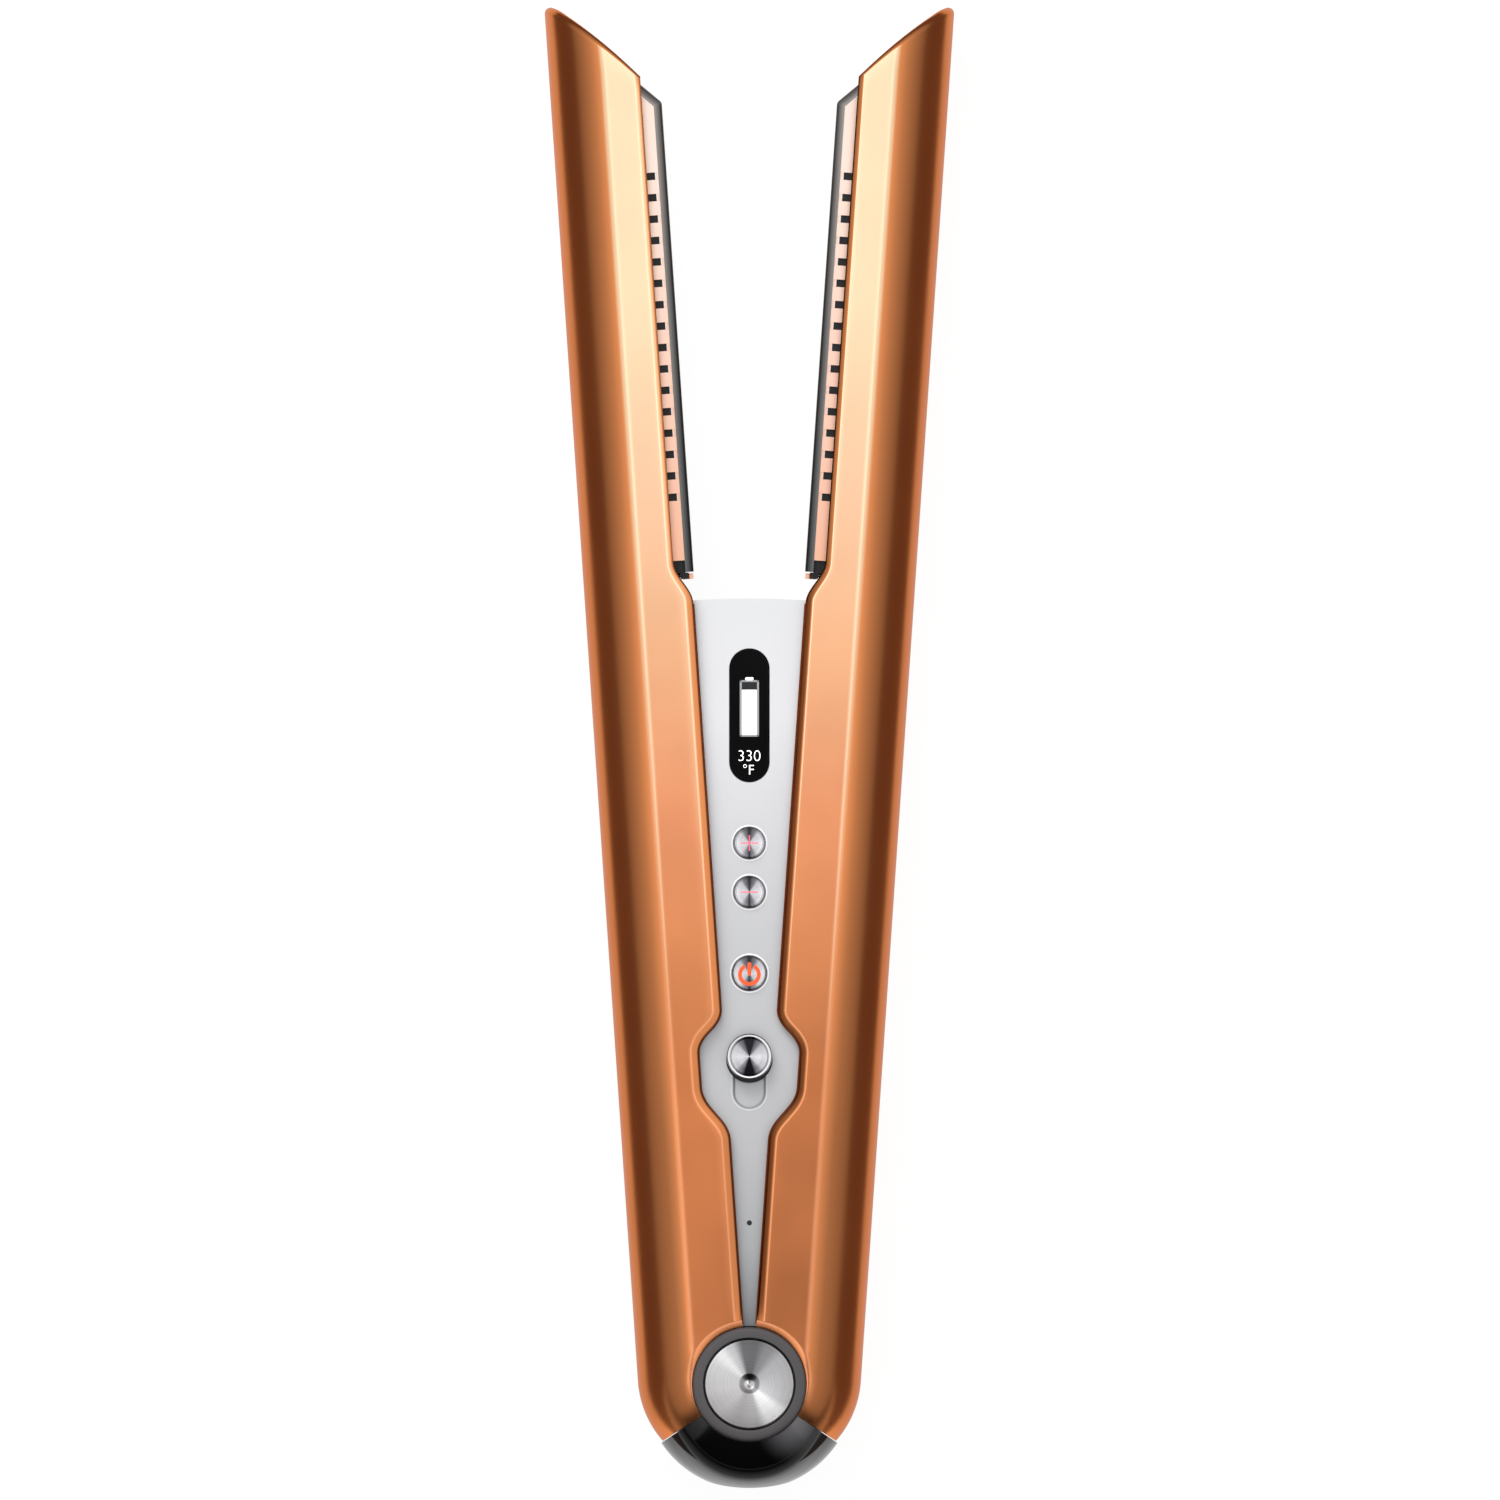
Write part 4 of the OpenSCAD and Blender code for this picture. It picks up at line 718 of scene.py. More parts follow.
def tip_line(rho):
    """How far the slanted tip reaches at rho, with its slope: nearly straight, a little
    hollow, and drawn back at the outer corner."""
    d = rho - PLATE_LIP
    over = np.maximum(0, rho - 18)
    reach = TIP_LIP + 1.12 * d - 0.0127 * d ** 2 - 0.082 * over ** 2
    return reach, 1.12 - 0.0254 * d - 0.164 * over


def shell(side):
    """Shell of one arm: an outer sheet that wraps from the front lip round the side to the
    back lip, the same sheet taken in by the wall, the slanted end wall at the tip with its
    rolled edge, and the cut that faces the end cap."""
    halves = [half_section(*lip_rows(recess), BEVEL_TILT[side]) for recess in (True, False)]
    outer, inner = [], []
    for (rho, v, drop), up in zip(halves, (1, -1)):
        x, y = bend(rho, v)
        z = front(rho) - drop
        z[:, 0] = front(rho[:, 0], WALL)
        outer.append(np.stack([x, y, MID + up * (z - MID)], -1))
        shrunk = np.where(rho > CREASE, SIDE_CENTRE + (rho - SIDE_CENTRE)
                          * (HALF_WIDTH - SIDE_CENTRE - WALL) / (HALF_WIDTH - SIDE_CENTRE), rho)
        shrunk[:, 0] = rho[:, 0]
        x, y = bend(shrunk, v)
        z = front(shrunk, WALL)
        inner.append(np.stack([x, y, MID + up * (z - MID)], -1))
    # the rolled edge: the centre line of a ball that touches both the section and the end wall
    last = outer[0][-1]
    normal = section_normals(last)
    share = np.clip((last[:, 0] - PLATE_LIP) / 9, 0, 1)
    radius = TIP_ROLL[0] + TIP_ROLL[1] * share
    centre = np.stack([last[:, 0] - radius * normal[:, 0], 0 * share,
                       last[:, 2] - radius * normal[:, 2]], 1)
    reach, slope = tip_line(centre[:, 0])
    centre[:, 1] = reach - radius * np.hypot(1, slope)
    wall_normal = np.stack([-slope, np.ones_like(slope), 0 * slope], 1)
    wall_normal /= np.linalg.norm(wall_normal, axis=1, keepdims=True)
    between = np.arccos(np.clip((normal * wall_normal).sum(1), -1, 1))
    t = np.linspace(0, 1, 9)[1:, None]
    roll = (np.sin((1 - t) * between)[..., None] * normal
            + np.sin(t * between)[..., None] * wall_normal) / np.sin(between)[:, None]
    rolled = centre + radius[:, None] * roll
    lean = np.linspace(0, 1, 7)[1:, None]
    tips = last + np.zeros((6, 1, 1))
    tips[..., 1] = last[:, 1] + lean * (centre[:, 1] - last[:, 1])
    fronts = np.concatenate([tips, rolled])
    flip = np.array([1, 1, -1]), np.array([0, 0, DEPTH])
    both = [np.concatenate([outer[0], fronts]),
            np.concatenate([outer[1], fronts * flip[0] + flip[1]])]
    sheet = np.concatenate([both[0], both[1][:, -2::-1]], 1)
    last_in = inner[0][-1]
    wall_reach = tip_line(last_in[:, 0])[0] - TIP_WALL - TIP_ROLL[1] * share
    wall_reach[0] = centre[0, 1]
    tips_in = last_in + np.zeros((6, 1, 1))
    tips_in[..., 1] = last_in[:, 1] + lean * (wall_reach - last_in[:, 1])
    inside = [np.concatenate([inner[0], tips_in]),
              np.concatenate([inner[1], tips_in * flip[0] + flip[1]])]
    lining = np.concatenate([inside[0], inside[1][:, -2::-1]], 1)
    down = np.linspace(0, 1, 4)[:, None, None]
    end_wall = both[0][-1] + (both[1][-1] - both[0][-1]) * down
    end_lining = inside[0][-1] + (inside[1][-1] - inside[0][-1]) * down
    lip_front, lip_back = (half[-1 - len(rolled):, 0] for half in both)
    lip_strip = lip_front + (lip_back - lip_front) * down
    cut = np.stack([sheet[0], lining[0]])
    return [sheet, lining, end_wall, end_lining, lip_strip, cut]


def section_normals(row):
    """Outward normals of a section row in the X-Z plane: square to the line between
    neighbours, and level at the lip and at the outermost point."""
    along = np.gradient(row[:, [0, 2]], axis=0)
    normal = np.stack([-along[:, 1], 0 * along[:, 0], along[:, 0]], 1)
    normal /= np.linalg.norm(normal, axis=1, keepdims=True)
    normal[:2] = (-1, 0, 0)
    normal[-1] = (1, 0, 0)
    return normal


def on_crease(side):
    """True for points on the crease between the flat front or back and the rounded side."""
    def test(points):
        x, y, z = np.moveaxis(in_arm(points, side), -1, 0)
        rho, _ = unbend(x, y)
        return (abs(rho - CREASE) < 0.004) & (abs(z - MID) > MID - 0.5) & (y > 8)
    return test


for side in SIDES:
    piece(f"{side}_arm_shell", [on_arm(grid, side) for grid in shell(side)], copper,
          f"{side}_arm", [f"{side}_shell"], 32, on_crease(side))


def lip_shadow_strip(recess):
    """A thin dark strip along the handle lip, swept with a four-cornered section: painted shadow in the gap to the
    control body. It stands in from the lip by SEAL."""
    ys = np.unique(np.concatenate([np.linspace(RING_GAP + 0.6, 47, 9), np.arange(47.5, 73, 0.5),
                                   np.linspace(76, 147, 12), [149.5, 151.4]]))
    line = lip_line(ys, recess)
    slope = (lip_line(ys + 0.05, recess) - lip_line(ys - 0.05, recess)) / 0.1
    across = np.stack([np.ones_like(slope), -slope], 1) / np.hypot(1, slope)[:, None]
    shape = np.array([[-SEAL, 1.75], [-SEAL, 1.5], [0.1, 1.4], [0.1, 1.75], [-SEAL, 1.75]])
    xy = np.stack([line, ys], 1)[None] + shape[:, :1, None] * across[None]
    z = np.broadcast_to(DEPTH - shape[:, 1, None, None], (*xy.shape[:2], 1))
    if not recess:
        z = DEPTH - z
    strip = np.concatenate([xy, z], -1)
    middle = strip[:4].mean(0)
    ends = [np.stack([strip[:, i], np.repeat(middle[None, i], 5, 0)]) for i in (0, -1)]
    return [strip, *ends]


# strips of painted shadow along both lips, front and rear
for side in SIDES:
    for face, recess in (("front", True), ("rear", False)):
        piece(f"{side}_{face}_lip_shadow_strip", [on_arm(grid, side) for grid in lip_shadow_strip(recess)],
              lip_shadow_finish, f"{side}_arm", sharp=40)


# ---------------------------------------------------------------- plate faces

def plate_face():
    """Face plate whose long edges roll back by e: at height z its skin lies d behind the outer
    line. The outer line runs up beside the middle, bends round a small corner and leans back
    with the tip; the inner line is the same, one plate thickness behind."""
    e = PLATE_THICK * 0.95
    slope = math.tan(TIP_SLANT)
    flex_x = PLATE_GAP + PLATE_THICK
    end_x = PLATE_LIP + 0.3
    rim = PLATE_THICK / math.cos(TIP_SLANT)
    outer = softened([[PLATE_GAP, PLATE[0]], [PLATE_GAP, PLATE[1]],
                      [end_x, PLATE[1] + (end_x - PLATE_GAP) * slope]], 0.5, 7)
    inner = np.repeat([[flex_x, PLATE[0]], [flex_x, PLATE[1] + PLATE_THICK * slope - rim],
                       [end_x, PLATE[1] + (end_x - PLATE_GAP) * slope - rim]], [1, 7, 1], 0)
    turn = np.linspace(0, math.pi / 2, 8)
    z = PLATE_HALF - e + e * np.sin(turn)
    d = e * (1 - np.cos(turn))
    z = np.concatenate([-z[::-1], z, [PLATE_HALF, 0, -PLATE_HALF, -PLATE_HALF]])
    d = np.concatenate([d[::-1], d, [PLATE_THICK] * 3, [e]]) / PLATE_THICK
    xy = outer[:, None] + (inner - outer)[:, None] * d[:, None]
    skin = np.concatenate([xy, np.broadcast_to(MID + z[:, None], (*xy.shape[:2], 1))], -1)
    middle = np.repeat((skin[[0, -1]].max(1, keepdims=True) + skin[[0, -1]].min(1, keepdims=True))
                       / 2, skin.shape[1], 1)
    return [skin, np.stack([skin[0], middle[0]]), np.stack([skin[-1], middle[1]])]


for side in SIDES:
    piece(f"{side}_plate_coated_face", [on_arm(grid, side) for grid in plate_face()], coating,
          f"{side}_plate", [f"{side}_plate_face"], 50)


# ---------------------------------------------------------------- end cap

def cap_shell(centre, across, up, wall, inner_r, half_angle, hole_r):
    """A wall turned about the hinge axis through half_angle to both sides of -Y, with a round
    hole for the socket. Its skin is (centre + across cos q ^ k, up sin q ^ k): an ellipse,
    k = 1, where it meets the arms, growing squarer towards the socket. A grid runs from the
    rim of the hole out to the edge of the sector."""
    def power(angle):
        return 1 / (1 + 0.32 * (1 - np.clip(angle / half_angle, -1, 1) ** 2) ** 2)

    def radius(angle, q, inset):
        return centre + (across - inset) * np.maximum(np.cos(q), 0) ** power(angle)

    top = math.acos((inner_r - centre) / across)
    ends = np.array([[half_angle, -top], [half_angle, top], [-half_angle, top],
                     [-half_angle, -top], [half_angle, -top]])
    n = 44
    t = np.linspace(0, 1, n + 1)[:-1, None]
    edge = np.concatenate([ends[i] + (ends[i + 1] - ends[i]) * t for i in range(4)])
    edge = np.concatenate([edge, edge[:1]])
    reach = np.arccos(((inner_r - centre) / across) ** (1 / power(edge[:, 0])))
    edge[:, 1] *= np.where(abs(edge[:, 1]) > top - 1e-9, reach / top, 1)
    turn = np.arctan2(edge[:, 1] / top, edge[:, 0] / half_angle)
    share = np.linspace(0, 1, 30)[:, None, None] ** 1.3
    skins = []
    for inset in (0, wall):
        guess = np.arcsin(hole_r * np.cos(turn) / (centre + across - inset))
        height = hole_r * np.sin(turn) / (up - inset)
        q = np.sign(height) * np.arcsin(abs(height) ** (1 / power(guess)))
        rim = np.stack([np.arcsin(hole_r * np.cos(turn) / radius(guess, q, inset)), q], 1)
        angle, q = np.moveaxis(rim + (edge - rim) * share, -1, 0)
        rho = radius(angle, q, inset)
        z = MID + (up - inset) * np.sign(q) * abs(np.sin(q)) ** power(angle)
        skins.append(np.stack([rho * np.sin(angle), -rho * np.cos(angle), z], -1))
    return [*skins, np.stack([skins[0][0], skins[1][0]]), np.stack([skins[0][-1], skins[1][-1]])]


socket_hole = SOCKET_R + 0.05
piece("end_cap_gloss", cap_shell(SIDE_CENTRE, END_CAP_R - SIDE_CENTRE, MID, 2, RING_R + 0.2,
                                 CAP_HALF, socket_hole),
      piano_black, "control_body", ["end_cap"], 40)
# the skirt lies deeper and reaches on behind the ends of the arms
piece("end_cap_skirt", cap_shell(8.2, 8.6, MID - 2.7, 1.6, RING_R + 0.4,
                                 CAP_HALF + math.radians(5), socket_hole),
      piano_black, "control_body", sharp=40)


# ---------------------------------------------------------------- hinge rings and caps

spun_hinge = spun("lathe_spun_steel_hinge", (0, 0), HINGE_PAINTED_FANS, 0.3)


def ring_profile(outer_z, base_z, round_r):
    """Closed profile of a hinge ring, rounded at its outer top edge."""
    inner = CAP_R + 0.2
    return softened([[inner, base_z], [inner, outer_z], [RING_R, outer_z], [RING_R, base_z],
                     [inner, base_z]], [0.15, round_r, 0.05])


def strip_profile(inner, outer, low, high):
    """Closed rectangular profile between two radii and two heights."""
    return [[inner, low], [inner, high], [outer, high], [outer, low], [inner, low]]


# dark seams where the ring meets the end cap and where it meets the foot of the panel
for name, profile, middle, half in (
        ("end_cap_seam", strip_profile(RING_R - 0.1, RING_R + 0.35, PANEL, RING_TOP - 0.75),
         -math.pi / 2, CAP_HALF),
        ("panel_foot_seam", strip_profile(RING_R - 0.1, RING_R + 0.3, PANEL - 0.1, PANEL + 0.04),
         math.pi / 2, 0.14)):
    piece(name, [turned(profile, start=middle - half, sweep=2 * half)], tray, "control_body",
          sharp=40)
piece("front_ring", [turned(ring_profile(RING_TOP, PANEL, 0.7))], ring_plastic, "control_body",
      ["front_hinge_ring"], 40)
piece("rear_ring", [turned(ring_profile(0.2, BACK, 0.5))], ring_plastic, "control_body",
      ["rear_hinge_ring"], 40)
front_cap = softened([[0, DEPTH - 0.9], [0.95, DEPTH - 1.02], [1.95, DEPTH - 0.36],
                      [2.5, DEPTH - 0.34], [CAP_R - 0.25, DEPTH - 0.04],
                      [CAP_R, DEPTH - 0.3], [CAP_R, PANEL], [0, PANEL]],
                     [0.35, 0.35, 0.4, 0.1, 0.05, 0.05])
piece("front_spun_cap", [turned(front_cap)], spun_hinge, "control_body", ["front_hinge_cap"],
      50)
rear_cap = softened([[0, 0.5], [1.6, 0.5], [2.2, 0.12], [2.6, 0], [CAP_R - 0.4, 0], [CAP_R, 0.4],
                     [CAP_R, BACK], [0, BACK]], [0.3, 0.2, 0.2, 0.3, 0.2, 0.05])
piece("rear_spun_cap", [turned(rear_cap)], spun_hinge, "control_body", ["rear_hinge_cap"],
      50)


# ---------------------------------------------------------------- buttons and lock knob

def button(name):
    """Push button: dished cap with a turned bevel, the hidden flange and the stem."""
    low, high = node_box(f"{name}_button")
    centre = (low + high) / 2
    r = high[0] - centre[0] - 0.7
    stem, top = low[2], high[2]
    flange = PANEL - 1.9
    profile = softened([[0, stem], [1.2, stem], [1.2, flange - 0.6], [r + 0.7, flange - 0.6],
                        [r + 0.7, flange], [r, flange], [r, top - 0.3], [r - 0.25, top],
                        [r - 0.55, top - 0.12], [0, top - 0.14]],
                       [0.05, 0.05, 0.05, 0.05, 0.05, 0.12, 0.12, 0.2])
    metal = spun(f"lathe_turned_{name}_button", centre[:2], BUTTON_PAINTED_FANS)
    piece(f"{name}_turned_button", [turned(profile, centre[:2], 96)], metal, f"{name}_button",
          [f"{name}_button"], 50)
    gap = np.array([[r + 0.03, PANEL - 0.35], [r + 0.03, PANEL - 0.05], [r + 0.2, PANEL + 0.03],
                    [r + 0.26, PANEL - 0.35], [r + 0.03, PANEL - 0.35]])
    piece(f"{name}_gasket", [turned(gap, centre[:2], 96)], tray, "control_body", sharp=50)
    bezel = softened([[r + 0.18, PANEL - 0.3], [r + 0.2, PANEL + 0.09], [r + 0.54, PANEL + 0.05],
                      [r + 0.56, PANEL - 0.02], [r + 0.5, PANEL - 0.3], [r + 0.18, PANEL - 0.3]],
                     [0.03, 0.02, 0.01, 0.02])
    piece(f"{name}_bezel", [turned(bezel, centre[:2], 96)], cut_edge, "control_body",
          sharp=50)
    return centre, r, top


def bar(centre, size, z, name, material, body, angle=0.0):
    """A thin raised bar with rounded ends, size long and wide, standing 0.03 high at z."""
    half, wide = size[0] / 2 - size[1] / 2, size[1] / 2
    turn = np.linspace(-math.pi / 2, math.pi / 2, 9)
    right = np.stack([half + wide * np.cos(turn), wide * np.sin(turn)], 1)
    edge = np.concatenate([right, -right, right[:1]])
    spin = np.array([[math.cos(angle), math.sin(angle)], [-math.sin(angle), math.cos(angle)]])
    solid_outline(edge @ spin, centre, z, 0.03, name, material, body)


def solid_outline(edge, centre, z, height, name, material, body):
    """A flat solid with the given closed outline about a centre, closed above and below."""
    ring = np.stack([centre[0] + edge[:, 0], centre[1] + edge[:, 1], np.full(len(edge), z)], 1)
    middle = np.broadcast_to(ring[:-1].mean(0), ring.shape)
    up = np.array([0, 0, height])
    piece(name, [np.stack([middle, ring, ring + up, middle + up])], material, body,
          sharp=40)


def open_ring(centre, r, width, gap, z, name, material, body):
    """A thin raised ring, open by gap to both sides of +Y and closed at its two ends."""
    angle = math.pi / 2 + np.linspace(gap, 2 * math.pi - gap, 49)
    inner = (r - width / 2) * np.stack([np.cos(angle), np.sin(angle)], 1)
    outer = (r + width / 2) * np.stack([np.cos(angle), np.sin(angle)], 1)
    height = z + np.array([0, 0.03, 0.03, 0, 0])
    lines = [inner, inner, outer, outer, inner]
    grid = np.stack([np.concatenate([centre[:2] + line, np.full((len(line), 1), h)], 1)
                     for line, h in zip(lines, height)])
    ends = [np.stack([grid[:2, i], grid[3:1:-1, i]]) for i in (0, -1)]
    piece(name, [grid, *ends], material, body, sharp=40)


centre, r, top = button("plus")
bar(centre, (3.4, 0.22), top - 0.12, "plus_mark_across", lit_red, "plus_button")
bar(centre, (3.1, 0.22), top - 0.121, "plus_mark_up", lit_red, "plus_button", math.pi / 2)
centre, r, top = button("minus")
bar(centre, (3.4, 0.22), top - 0.12, "minus_mark", lit_red, "minus_button")
centre, r, top = button("power")
open_ring(centre + (0, -0.25, 0), 1.82, 0.74, 0.5, top - 0.12, "power_mark_ring", lit_orange,
          "power_button")
bar(centre + (0, 0.85, 0), (2.6, 0.74), top - 0.12, "power_mark_bar", lit_orange, "power_button",
    math.pi / 2)

low, high = node_box("lock_knob")
knob_centre = ((low + high) / 2)[:2]
knob_r = (high[0] - low[0]) / 2
spun_knob = spun("lathe_turned_knob", knob_centre, KNOB_PAINTED_FANS)
knob = softened([[0, low[2]], [2, low[2]], [2, PANEL + 0.4], [knob_r - 0.3, PANEL + 0.4],
                 [knob_r, PANEL + 0.8], [knob_r, high[2] - 0.45], [knob_r - 0.3, high[2]],
                 [knob_r - 0.75, high[2] - 0.1], [knob_r - 0.95, high[2] - 0.32],
                 [knob_r * 0.5, high[2] - 0.3], [0, high[2] - 0.42]],
                [0.05, 0.05, 0.05, 0.2, 0.15, 0.12, 0.15, 0.08, 0.4])
piece("lock_turned_knob", [turned(knob, knob_centre, 96)], spun_knob, "lock_slider",
      ["lock_knob"], 50)
knob_rim = softened([[knob_r - 0.52, high[2] - 0.2], [knob_r - 0.52, high[2] - 0.03],
                     [knob_r - 0.22, high[2] + 0.006], [knob_r - 0.17, high[2] - 0.24],
                     [knob_r - 0.52, high[2] - 0.2]], [0.02, 0.03, 0.02])
piece("lock_knob_rim", [turned(knob_rim, knob_centre, 96)], cut_edge, "lock_slider",
      sharp=50)
# a dark ring set off towards -Y under the knob: painted shadow, showing as a crescent below its lower edge
skirt = softened([[2.8, PANEL + 0.03], [2.8, PANEL + 0.42], [knob_r - 0.1, PANEL + 0.42],
                  [knob_r + 0.1, PANEL + 0.03], [2.8, PANEL + 0.03]], [0.05, 0.1, 0.02])
piece("lock_knob_shadow_crescent", [turned(skirt, knob_centre - (0, 0.62), 96)], tray, "lock_slider",
      sharp=50)


# ---------------------------------------------------------------- slot of the lock knob

def obround(width, length, steps=24):
    """Outline of a bar with round ends along Y, from its centre, closed on itself."""
    r = width / 2
    turn = np.linspace(0, math.pi, steps + 1)
    top = np.stack([r * np.cos(turn), length / 2 - r + r * np.sin(turn)], 1)
    return np.concatenate([top, -top, top[:1]])


def at_height(outline, z):
    """A flat outline as points at one height."""
    return np.column_stack([outline, np.full(len(outline), z)])


def band(centre, width, length, profile):
    """A closed band round an obround opening: each point of its profile is a distance outside
    the opening and a height above the panel."""
    return np.stack([at_height(obround(width + 2 * out, length + 2 * out) + centre, PANEL + rise)
                     for out, rise in profile])


slot_centre = knob_centre - (0, LOCK_TRAVEL / 2)
# painted highlight on the slot's rim and painted shade down its wall
for name, profile, finish in (
        ("lock_slot_edge", [(0, -0.2), (0, 0.03), (0.26, 0.07), (0.3, -0.2), (0, -0.2)], slot_rim_painted_highlight),
        ("lock_slot_wall", [(-0.5, -0.96), (-0.12, -0.15), (0, -0.12), (0, -0.96),
                            (-0.5, -0.96)], slot_wall_painted_shade)):
    piece(name, [band(slot_centre, 2 * SLOT_R, 2 * SLOT_R + LOCK_TRAVEL, profile)], finish,
          "control_body", sharp=30)


# ---------------------------------------------------------------- display

low, high = node_box("display_lens")
window = (low + high) / 2
size = high - low
layers = [(0.08, low[2]), (0, low[2] + 0.08), (0, high[2] - 0.12), (0.12, high[2]),
          (0.3, high[2])]
rings = [at_height(obround(size[0] - 2 * inset, size[1] - 2 * inset) + window[:2], z)
         for inset, z in layers]
reach = np.array([0, size[1] / 2 - size[0] / 2])
spine = [at_height(np.clip(rings[0][:, :2], window[:2] - reach, window[:2] + reach), z)
         for z in (low[2], high[2])]
piece("display_window", [np.stack([spine[0], *rings, spine[1]])], glass, "control_body",
      ["display_lens"], 50)


def lettering(name, text, height, place, material, z, bold=0.0):
    """Text as a thin solid whose capitals are height tall, centred on a place. The capitals
    of the font are 0.73 of its size. Bold widens its strokes by that much to each side."""
    curve = bpy.data.curves.new(name, "FONT")
    curve.body = text
    curve.size = height * MM / 0.73
    curve.align_x = "CENTER"
    curve.align_y = "CENTER"
    curve.extrude = 0.012 * MM
    curve.offset = bold * MM
    thing = bpy.data.objects.new(name, curve)
    bpy.context.scene.collection.objects.link(thing)
    bpy.context.view_layer.update()
    graph = bpy.context.evaluated_depsgraph_get()
    mesh = bpy.data.meshes.new_from_object(thing.evaluated_get(graph))
    bpy.data.objects.remove(thing)
    places = np.zeros(len(mesh.vertices) * 3)
    mesh.vertices.foreach_get("co", places)
    places = places.reshape(-1, 3)
    middle = (places.max(0) + places.min(0)) / 2
    places += np.array([place[0], place[1], z]) * MM - middle
    mesh.vertices.foreach_set("co", places.ravel())
    mesh.materials.clear()
    return finish_piece(name, mesh, material, "control_body")


glow = high[2] + 0.02
lettering("display_number", "330", 2.25, (window[0], window[1] - 7.8), lit_white, glow, -0.05)
lettering("display_unit", "°F", 2.0, (window[0] - 0.15, window[1] - 10.45), lit_white, glow,
          -0.02)
battery_y = window[1] + 1.35
battery_half = (1.66, 5.46)      # half of the battery sign's width and length
for name, x in (("battery_left", -battery_half[0]), ("battery_right", battery_half[0])):
    bar((window[0] + x, battery_y, 0), (2 * battery_half[1], 0.38), glow, name, lit_grey,
        "control_body", math.pi / 2)
for name, y in (("battery_top", battery_half[1] - 0.17),
                ("battery_bottom", 0.17 - battery_half[1])):
    bar((window[0], battery_y + y, 0), (2 * battery_half[0] + 0.38, 0.34), glow, name, lit_grey,
        "control_body")
bar((window[0], battery_y + battery_half[1] + 0.28, 0), (1.6, 0.56), glow, "battery_nub",
    lit_white, "control_body")
for name, half, foot, head, finish in (("battery_charge", 1.44, -5.1, 3.6, lit_white),
                                       ("battery_spent", 1.4, 3.72, 5.1, dim_segment)):
    solid_outline(np.array([[-half, foot], [half, foot], [half, head], [-half, head],
                            [-half, foot]]),
                  (window[0], battery_y), glow, 0.025, name, finish, "control_body")


# ---------------------------------------------------------------- charging socket

ring_in = SOCKET_R - 1.1
inner_y = node_box("socket_ring")[1][1]
floor_y = node_box("socket_base")[0][1]
socket = softened([[ring_in, floor_y], [ring_in, SOCKET_FACE], [SOCKET_R, SOCKET_FACE],
                   [SOCKET_R, inner_y], [ring_in - 0.4, inner_y], [ring_in - 0.4, floor_y],
                   [ring_in, floor_y]], [0.25, 0.3, 0.05, 0.05, 0.05])
piece("socket_trim", [about_socket(socket)], nickel, "control_body", ["socket_ring"],
      50)


# ---------------------------------------------------------------- floor, cards and light

def lay_flat(name, corners, z, material):
    """A flat stage surface with the given corners."""
    mesh = bpy.data.meshes.new(name)
    mesh.from_pydata([(x * MM, y * MM, z * MM) for x, y in corners], [],
                     [list(range(len(corners)))])
    mesh.materials.append(material)
    thing = bpy.data.objects.new(name, mesh)
    bpy.context.scene.collection.objects.link(thing)
    return thing


def white_floor():
    """White seamless paper: plain white to the eye, keeping a faint shadow. Reflections see
    it brightest just past the hinge end, and dark further off."""
    material = bpy.data.materials.new("white_paper")
    tree = empty_tree(material)
    path = add_node(tree, "ShaderNodeLightPath")
    shiny = add_node(tree, "ShaderNodeMath", {0: path.outputs["Is Glossy Ray"],
                                              1: path.outputs["Is Transmission Ray"]},
                     operation="MAXIMUM")
    seen = add_node(tree, "ShaderNodeMath", {0: path.outputs["Is Camera Ray"],
                                             1: shiny.outputs[0]}, operation="MAXIMUM")
    place = add_node(tree, "ShaderNodeTexCoord").outputs["Object"]
    along = add_node(tree, "ShaderNodeSeparateXYZ", {0: place}).outputs[1]
    reach = add_node(tree, "ShaderNodeMapRange", {0: along, 1: -14 * MM, 2: -200 * MM})
    mirrored = add_node(tree, "ShaderNodeValToRGB", {0: reach.outputs[0]})
    fill_ramp(mirrored, {0: 0.6, 0.07: 0.76, 0.1: 1.0, 0.167: 1.1, 0.226: 0.7, 0.3: 0.25,
                         0.62: 0.08, 1: 0.03})
    level = add_node(tree, "ShaderNodeMapRange", {0: shiny.outputs[0], 3: 0.94,
                                                  4: mirrored.outputs[0]})
    glow = add_node(tree, "ShaderNodeEmission", {0: (1, 1, 1, 1), 1: level.outputs[0]})
    faint = add_node(tree, "ShaderNodeBsdfDiffuse", {0: (0.11, 0.11, 0.11, 1)})
    shown = add_node(tree, "ShaderNodeAddShader", {0: glow.outputs[0], 1: faint.outputs[0]})
    paper = add_node(tree, "ShaderNodeBsdfDiffuse", {0: (0.7, 0.7, 0.7, 1)})
    mix = add_node(tree, "ShaderNodeMixShader", {0: seen.outputs[0], 1: paper.outputs[0],
                                                 2: shown.outputs[0]})
    add_node(tree, "ShaderNodeOutputMaterial", {0: mix.outputs[0]})
    material.cycles.emission_sampling = "NONE"
    return material


def card(name, colour, corners, z):
    """Evenly lit card that only reflections see, as flags beside a shiny thing are placed."""
    material = bpy.data.materials.new(f"{name}_card")
    tree = empty_tree(material)
    tone = add_node(tree, "ShaderNodeEmission", {0: (*colour, 1), 1: 1.0})
    add_node(tree, "ShaderNodeOutputMaterial", {0: tone.outputs[0]})
    material.cycles.emission_sampling = "NONE"
    flag = lay_flat(name, corners, z, material)
    flag.visible_camera = flag.visible_diffuse = flag.visible_shadow = False
    flag.visible_transmission = False


lay_flat("paper_floor", [(-SPREAD, -SPREAD), (SPREAD, -SPREAD), (SPREAD, SPREAD),
                         (-SPREAD, SPREAD)], -0.1, white_floor())
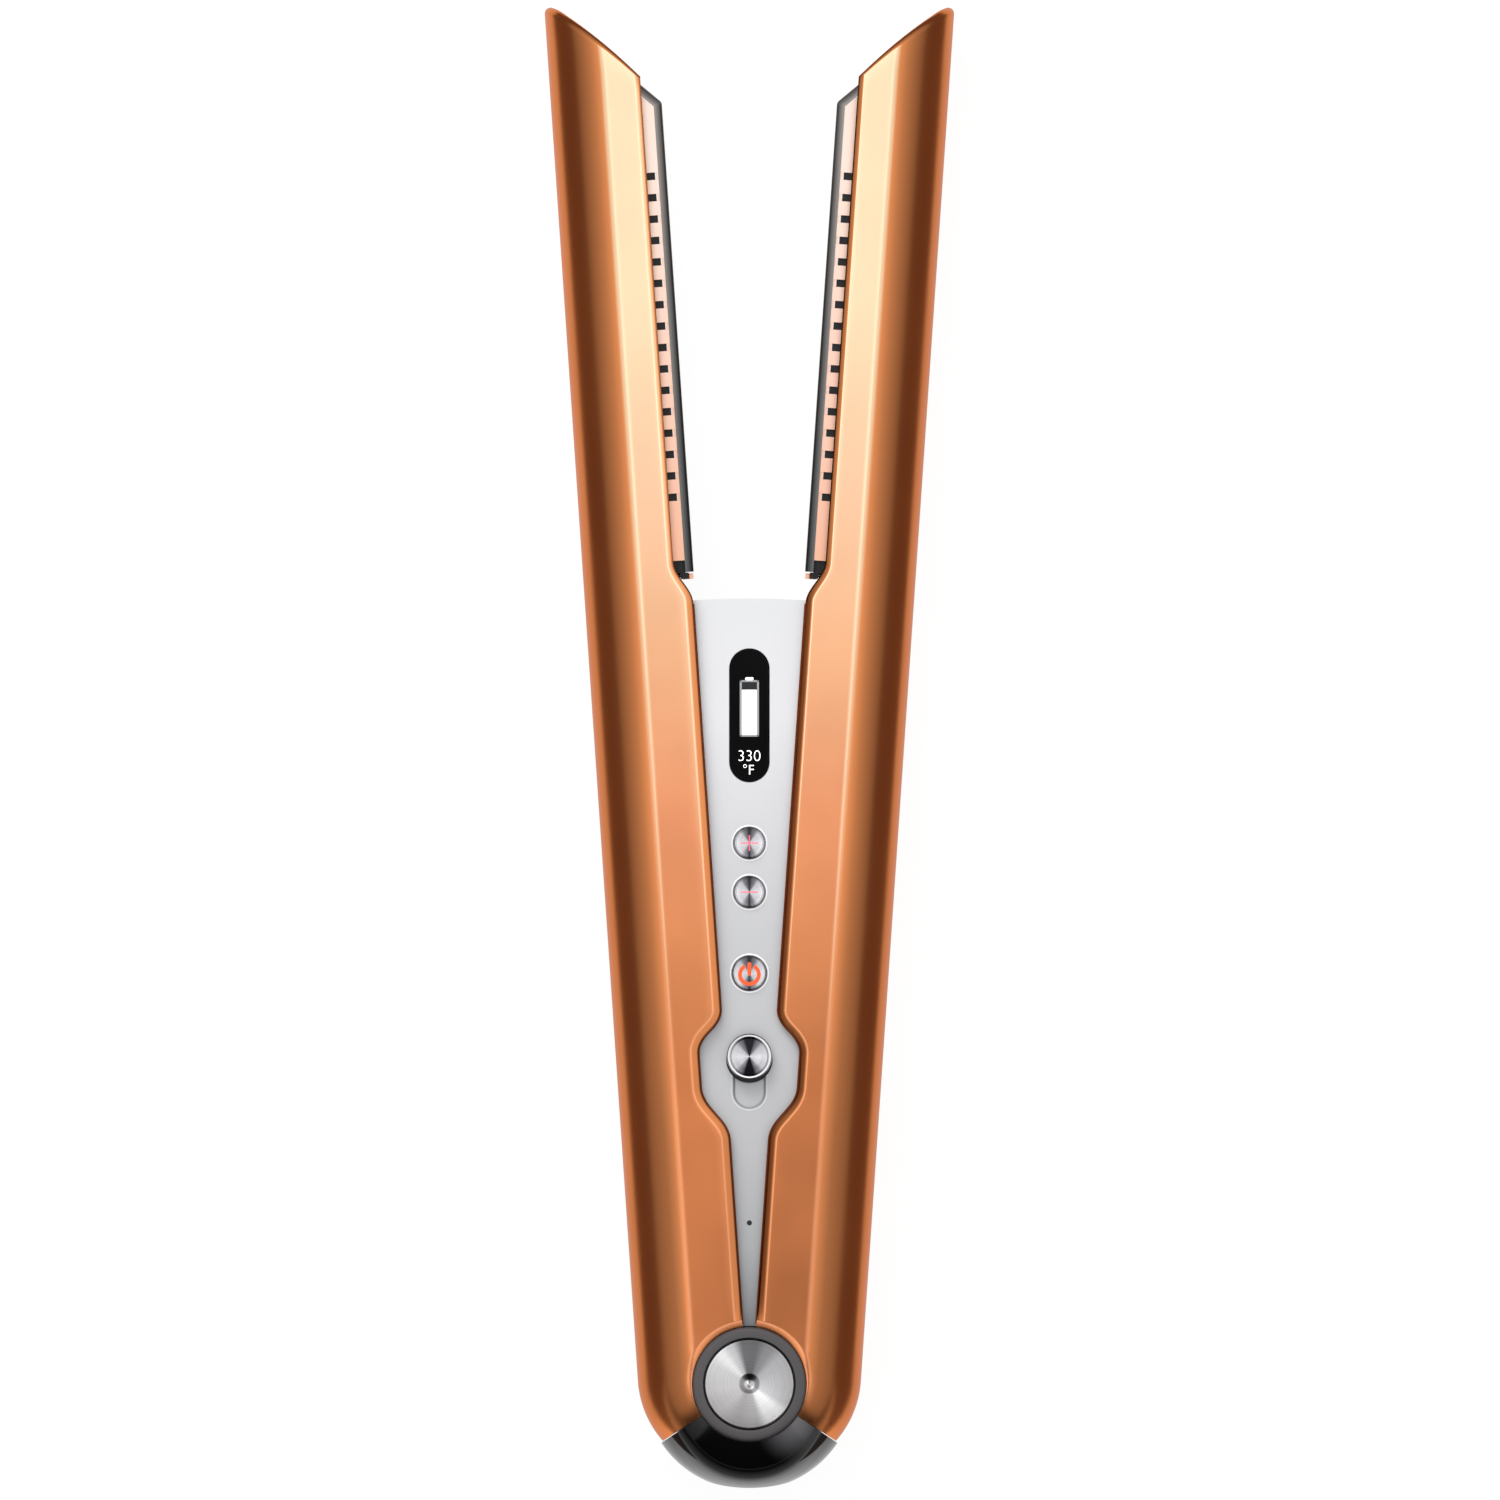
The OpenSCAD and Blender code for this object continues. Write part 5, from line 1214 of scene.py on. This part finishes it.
# warm grey cards round the iron: their edges at the hinge end and past the tips, and how far
# the side cards stand from the middle at each of these
foot_y, head_y = -54, 290
left, right = (43.5, 66), (40.5, 63)
warm = (0.135, 0.095, 0.08)
for name, share, corners in (
        ("card_left", 1, [(-SPREAD, foot_y), (-left[0], foot_y), (-left[1], head_y),
                          (-SPREAD, head_y)]),
        ("card_right", 1, [(right[0], foot_y), (SPREAD, foot_y), (SPREAD, head_y),
                           (right[1], head_y)]),
        ("card_top", 1, [(-SPREAD, head_y), (SPREAD, head_y), (SPREAD, head_y + SPREAD),
                         (-SPREAD, head_y + SPREAD)]),
        ("card_low", 0.3, [(-SPREAD, foot_y - SPREAD), (SPREAD, foot_y - SPREAD),
                           (SPREAD, -200), (-SPREAD, -200)])):
    card(name, tuple(tone * share for tone in warm), corners, -0.05)
card("flag_over_end_cap", (0.01, 0.01, 0.01),
     [(-SPREAD, -SPREAD), (SPREAD, -SPREAD), (SPREAD, -2300), (8, -9), (0, -11), (-8, -9),
      (-SPREAD, -2300)], 140)

world = bpy.data.worlds.new("studio")
bpy.context.scene.world = world
tree = empty_tree(world)
way = add_node(tree, "ShaderNodeTexCoord").outputs["Generated"]
parts = add_node(tree, "ShaderNodeSeparateXYZ", {0: way})
sky = add_node(tree, "ShaderNodeValToRGB", {0: parts.outputs[2]})
# the level of the sky from the horizon, 0, to straight overhead, 1
fill_ramp(sky, {0: 0.24, 0.24: 0.34, 0.47: 0.45, 0.67: 0.56, 0.84: 0.76, 0.906: 0.9,
                0.955: 0.93, 0.975: 0.98, 0.988: 0.9, 0.994: 0.4, 0.9985: 0.17, 1: 0.16})
seen = add_node(tree, "ShaderNodeLightPath").outputs["Is Camera Ray"]
tone = add_node(tree, "ShaderNodeMix", {0: seen, 6: sky.outputs[0], 7: (1, 1, 1, 1)},
                data_type="RGBA")
back = add_node(tree, "ShaderNodeBackground", {0: tone.outputs[2], 1: 1.0})
add_node(tree, "ShaderNodeOutputWorld", {0: back.outputs[0]})


def softbox(name, place, aim, size, power):
    """Rectangular diffuser, size in millimetres and power in watts, turned towards aim."""
    lamp = bpy.data.lights.new(name, "AREA")
    lamp.shape = "RECTANGLE"
    lamp.size, lamp.size_y = size[0] * MM, size[1] * MM
    lamp.energy = power
    thing = bpy.data.objects.new(name, lamp)
    thing.location = Vector(place) * MM
    thing.rotation_euler = (Vector(aim) - Vector(place)).to_track_quat("-Z", "Y").to_euler()
    thing.visible_camera = False
    bpy.context.scene.collection.objects.link(thing)
    return thing


softbox("tip_softbox", (0, 290, 380), (0, 290, 0), (205, 320), 0.114)
softbox("handle_softbox", (0, 99, 380), (0, 99, 0), (210, 62), 0.017)
softbox("left_flat_strip", (-24, 25, 120), (-24, 25, 0), (44, 70), 0.0021)
softbox("hinge_softbox", (0, 0, 70), (0, 0, 0), (15, 15), 0.00032)
fill = softbox("fill", (-80, 310, 240), (0, 90, 0), (200, 200), 0.6)
fill.visible_glossy = False

bpy.context.scene.view_settings.view_transform = "Standard"
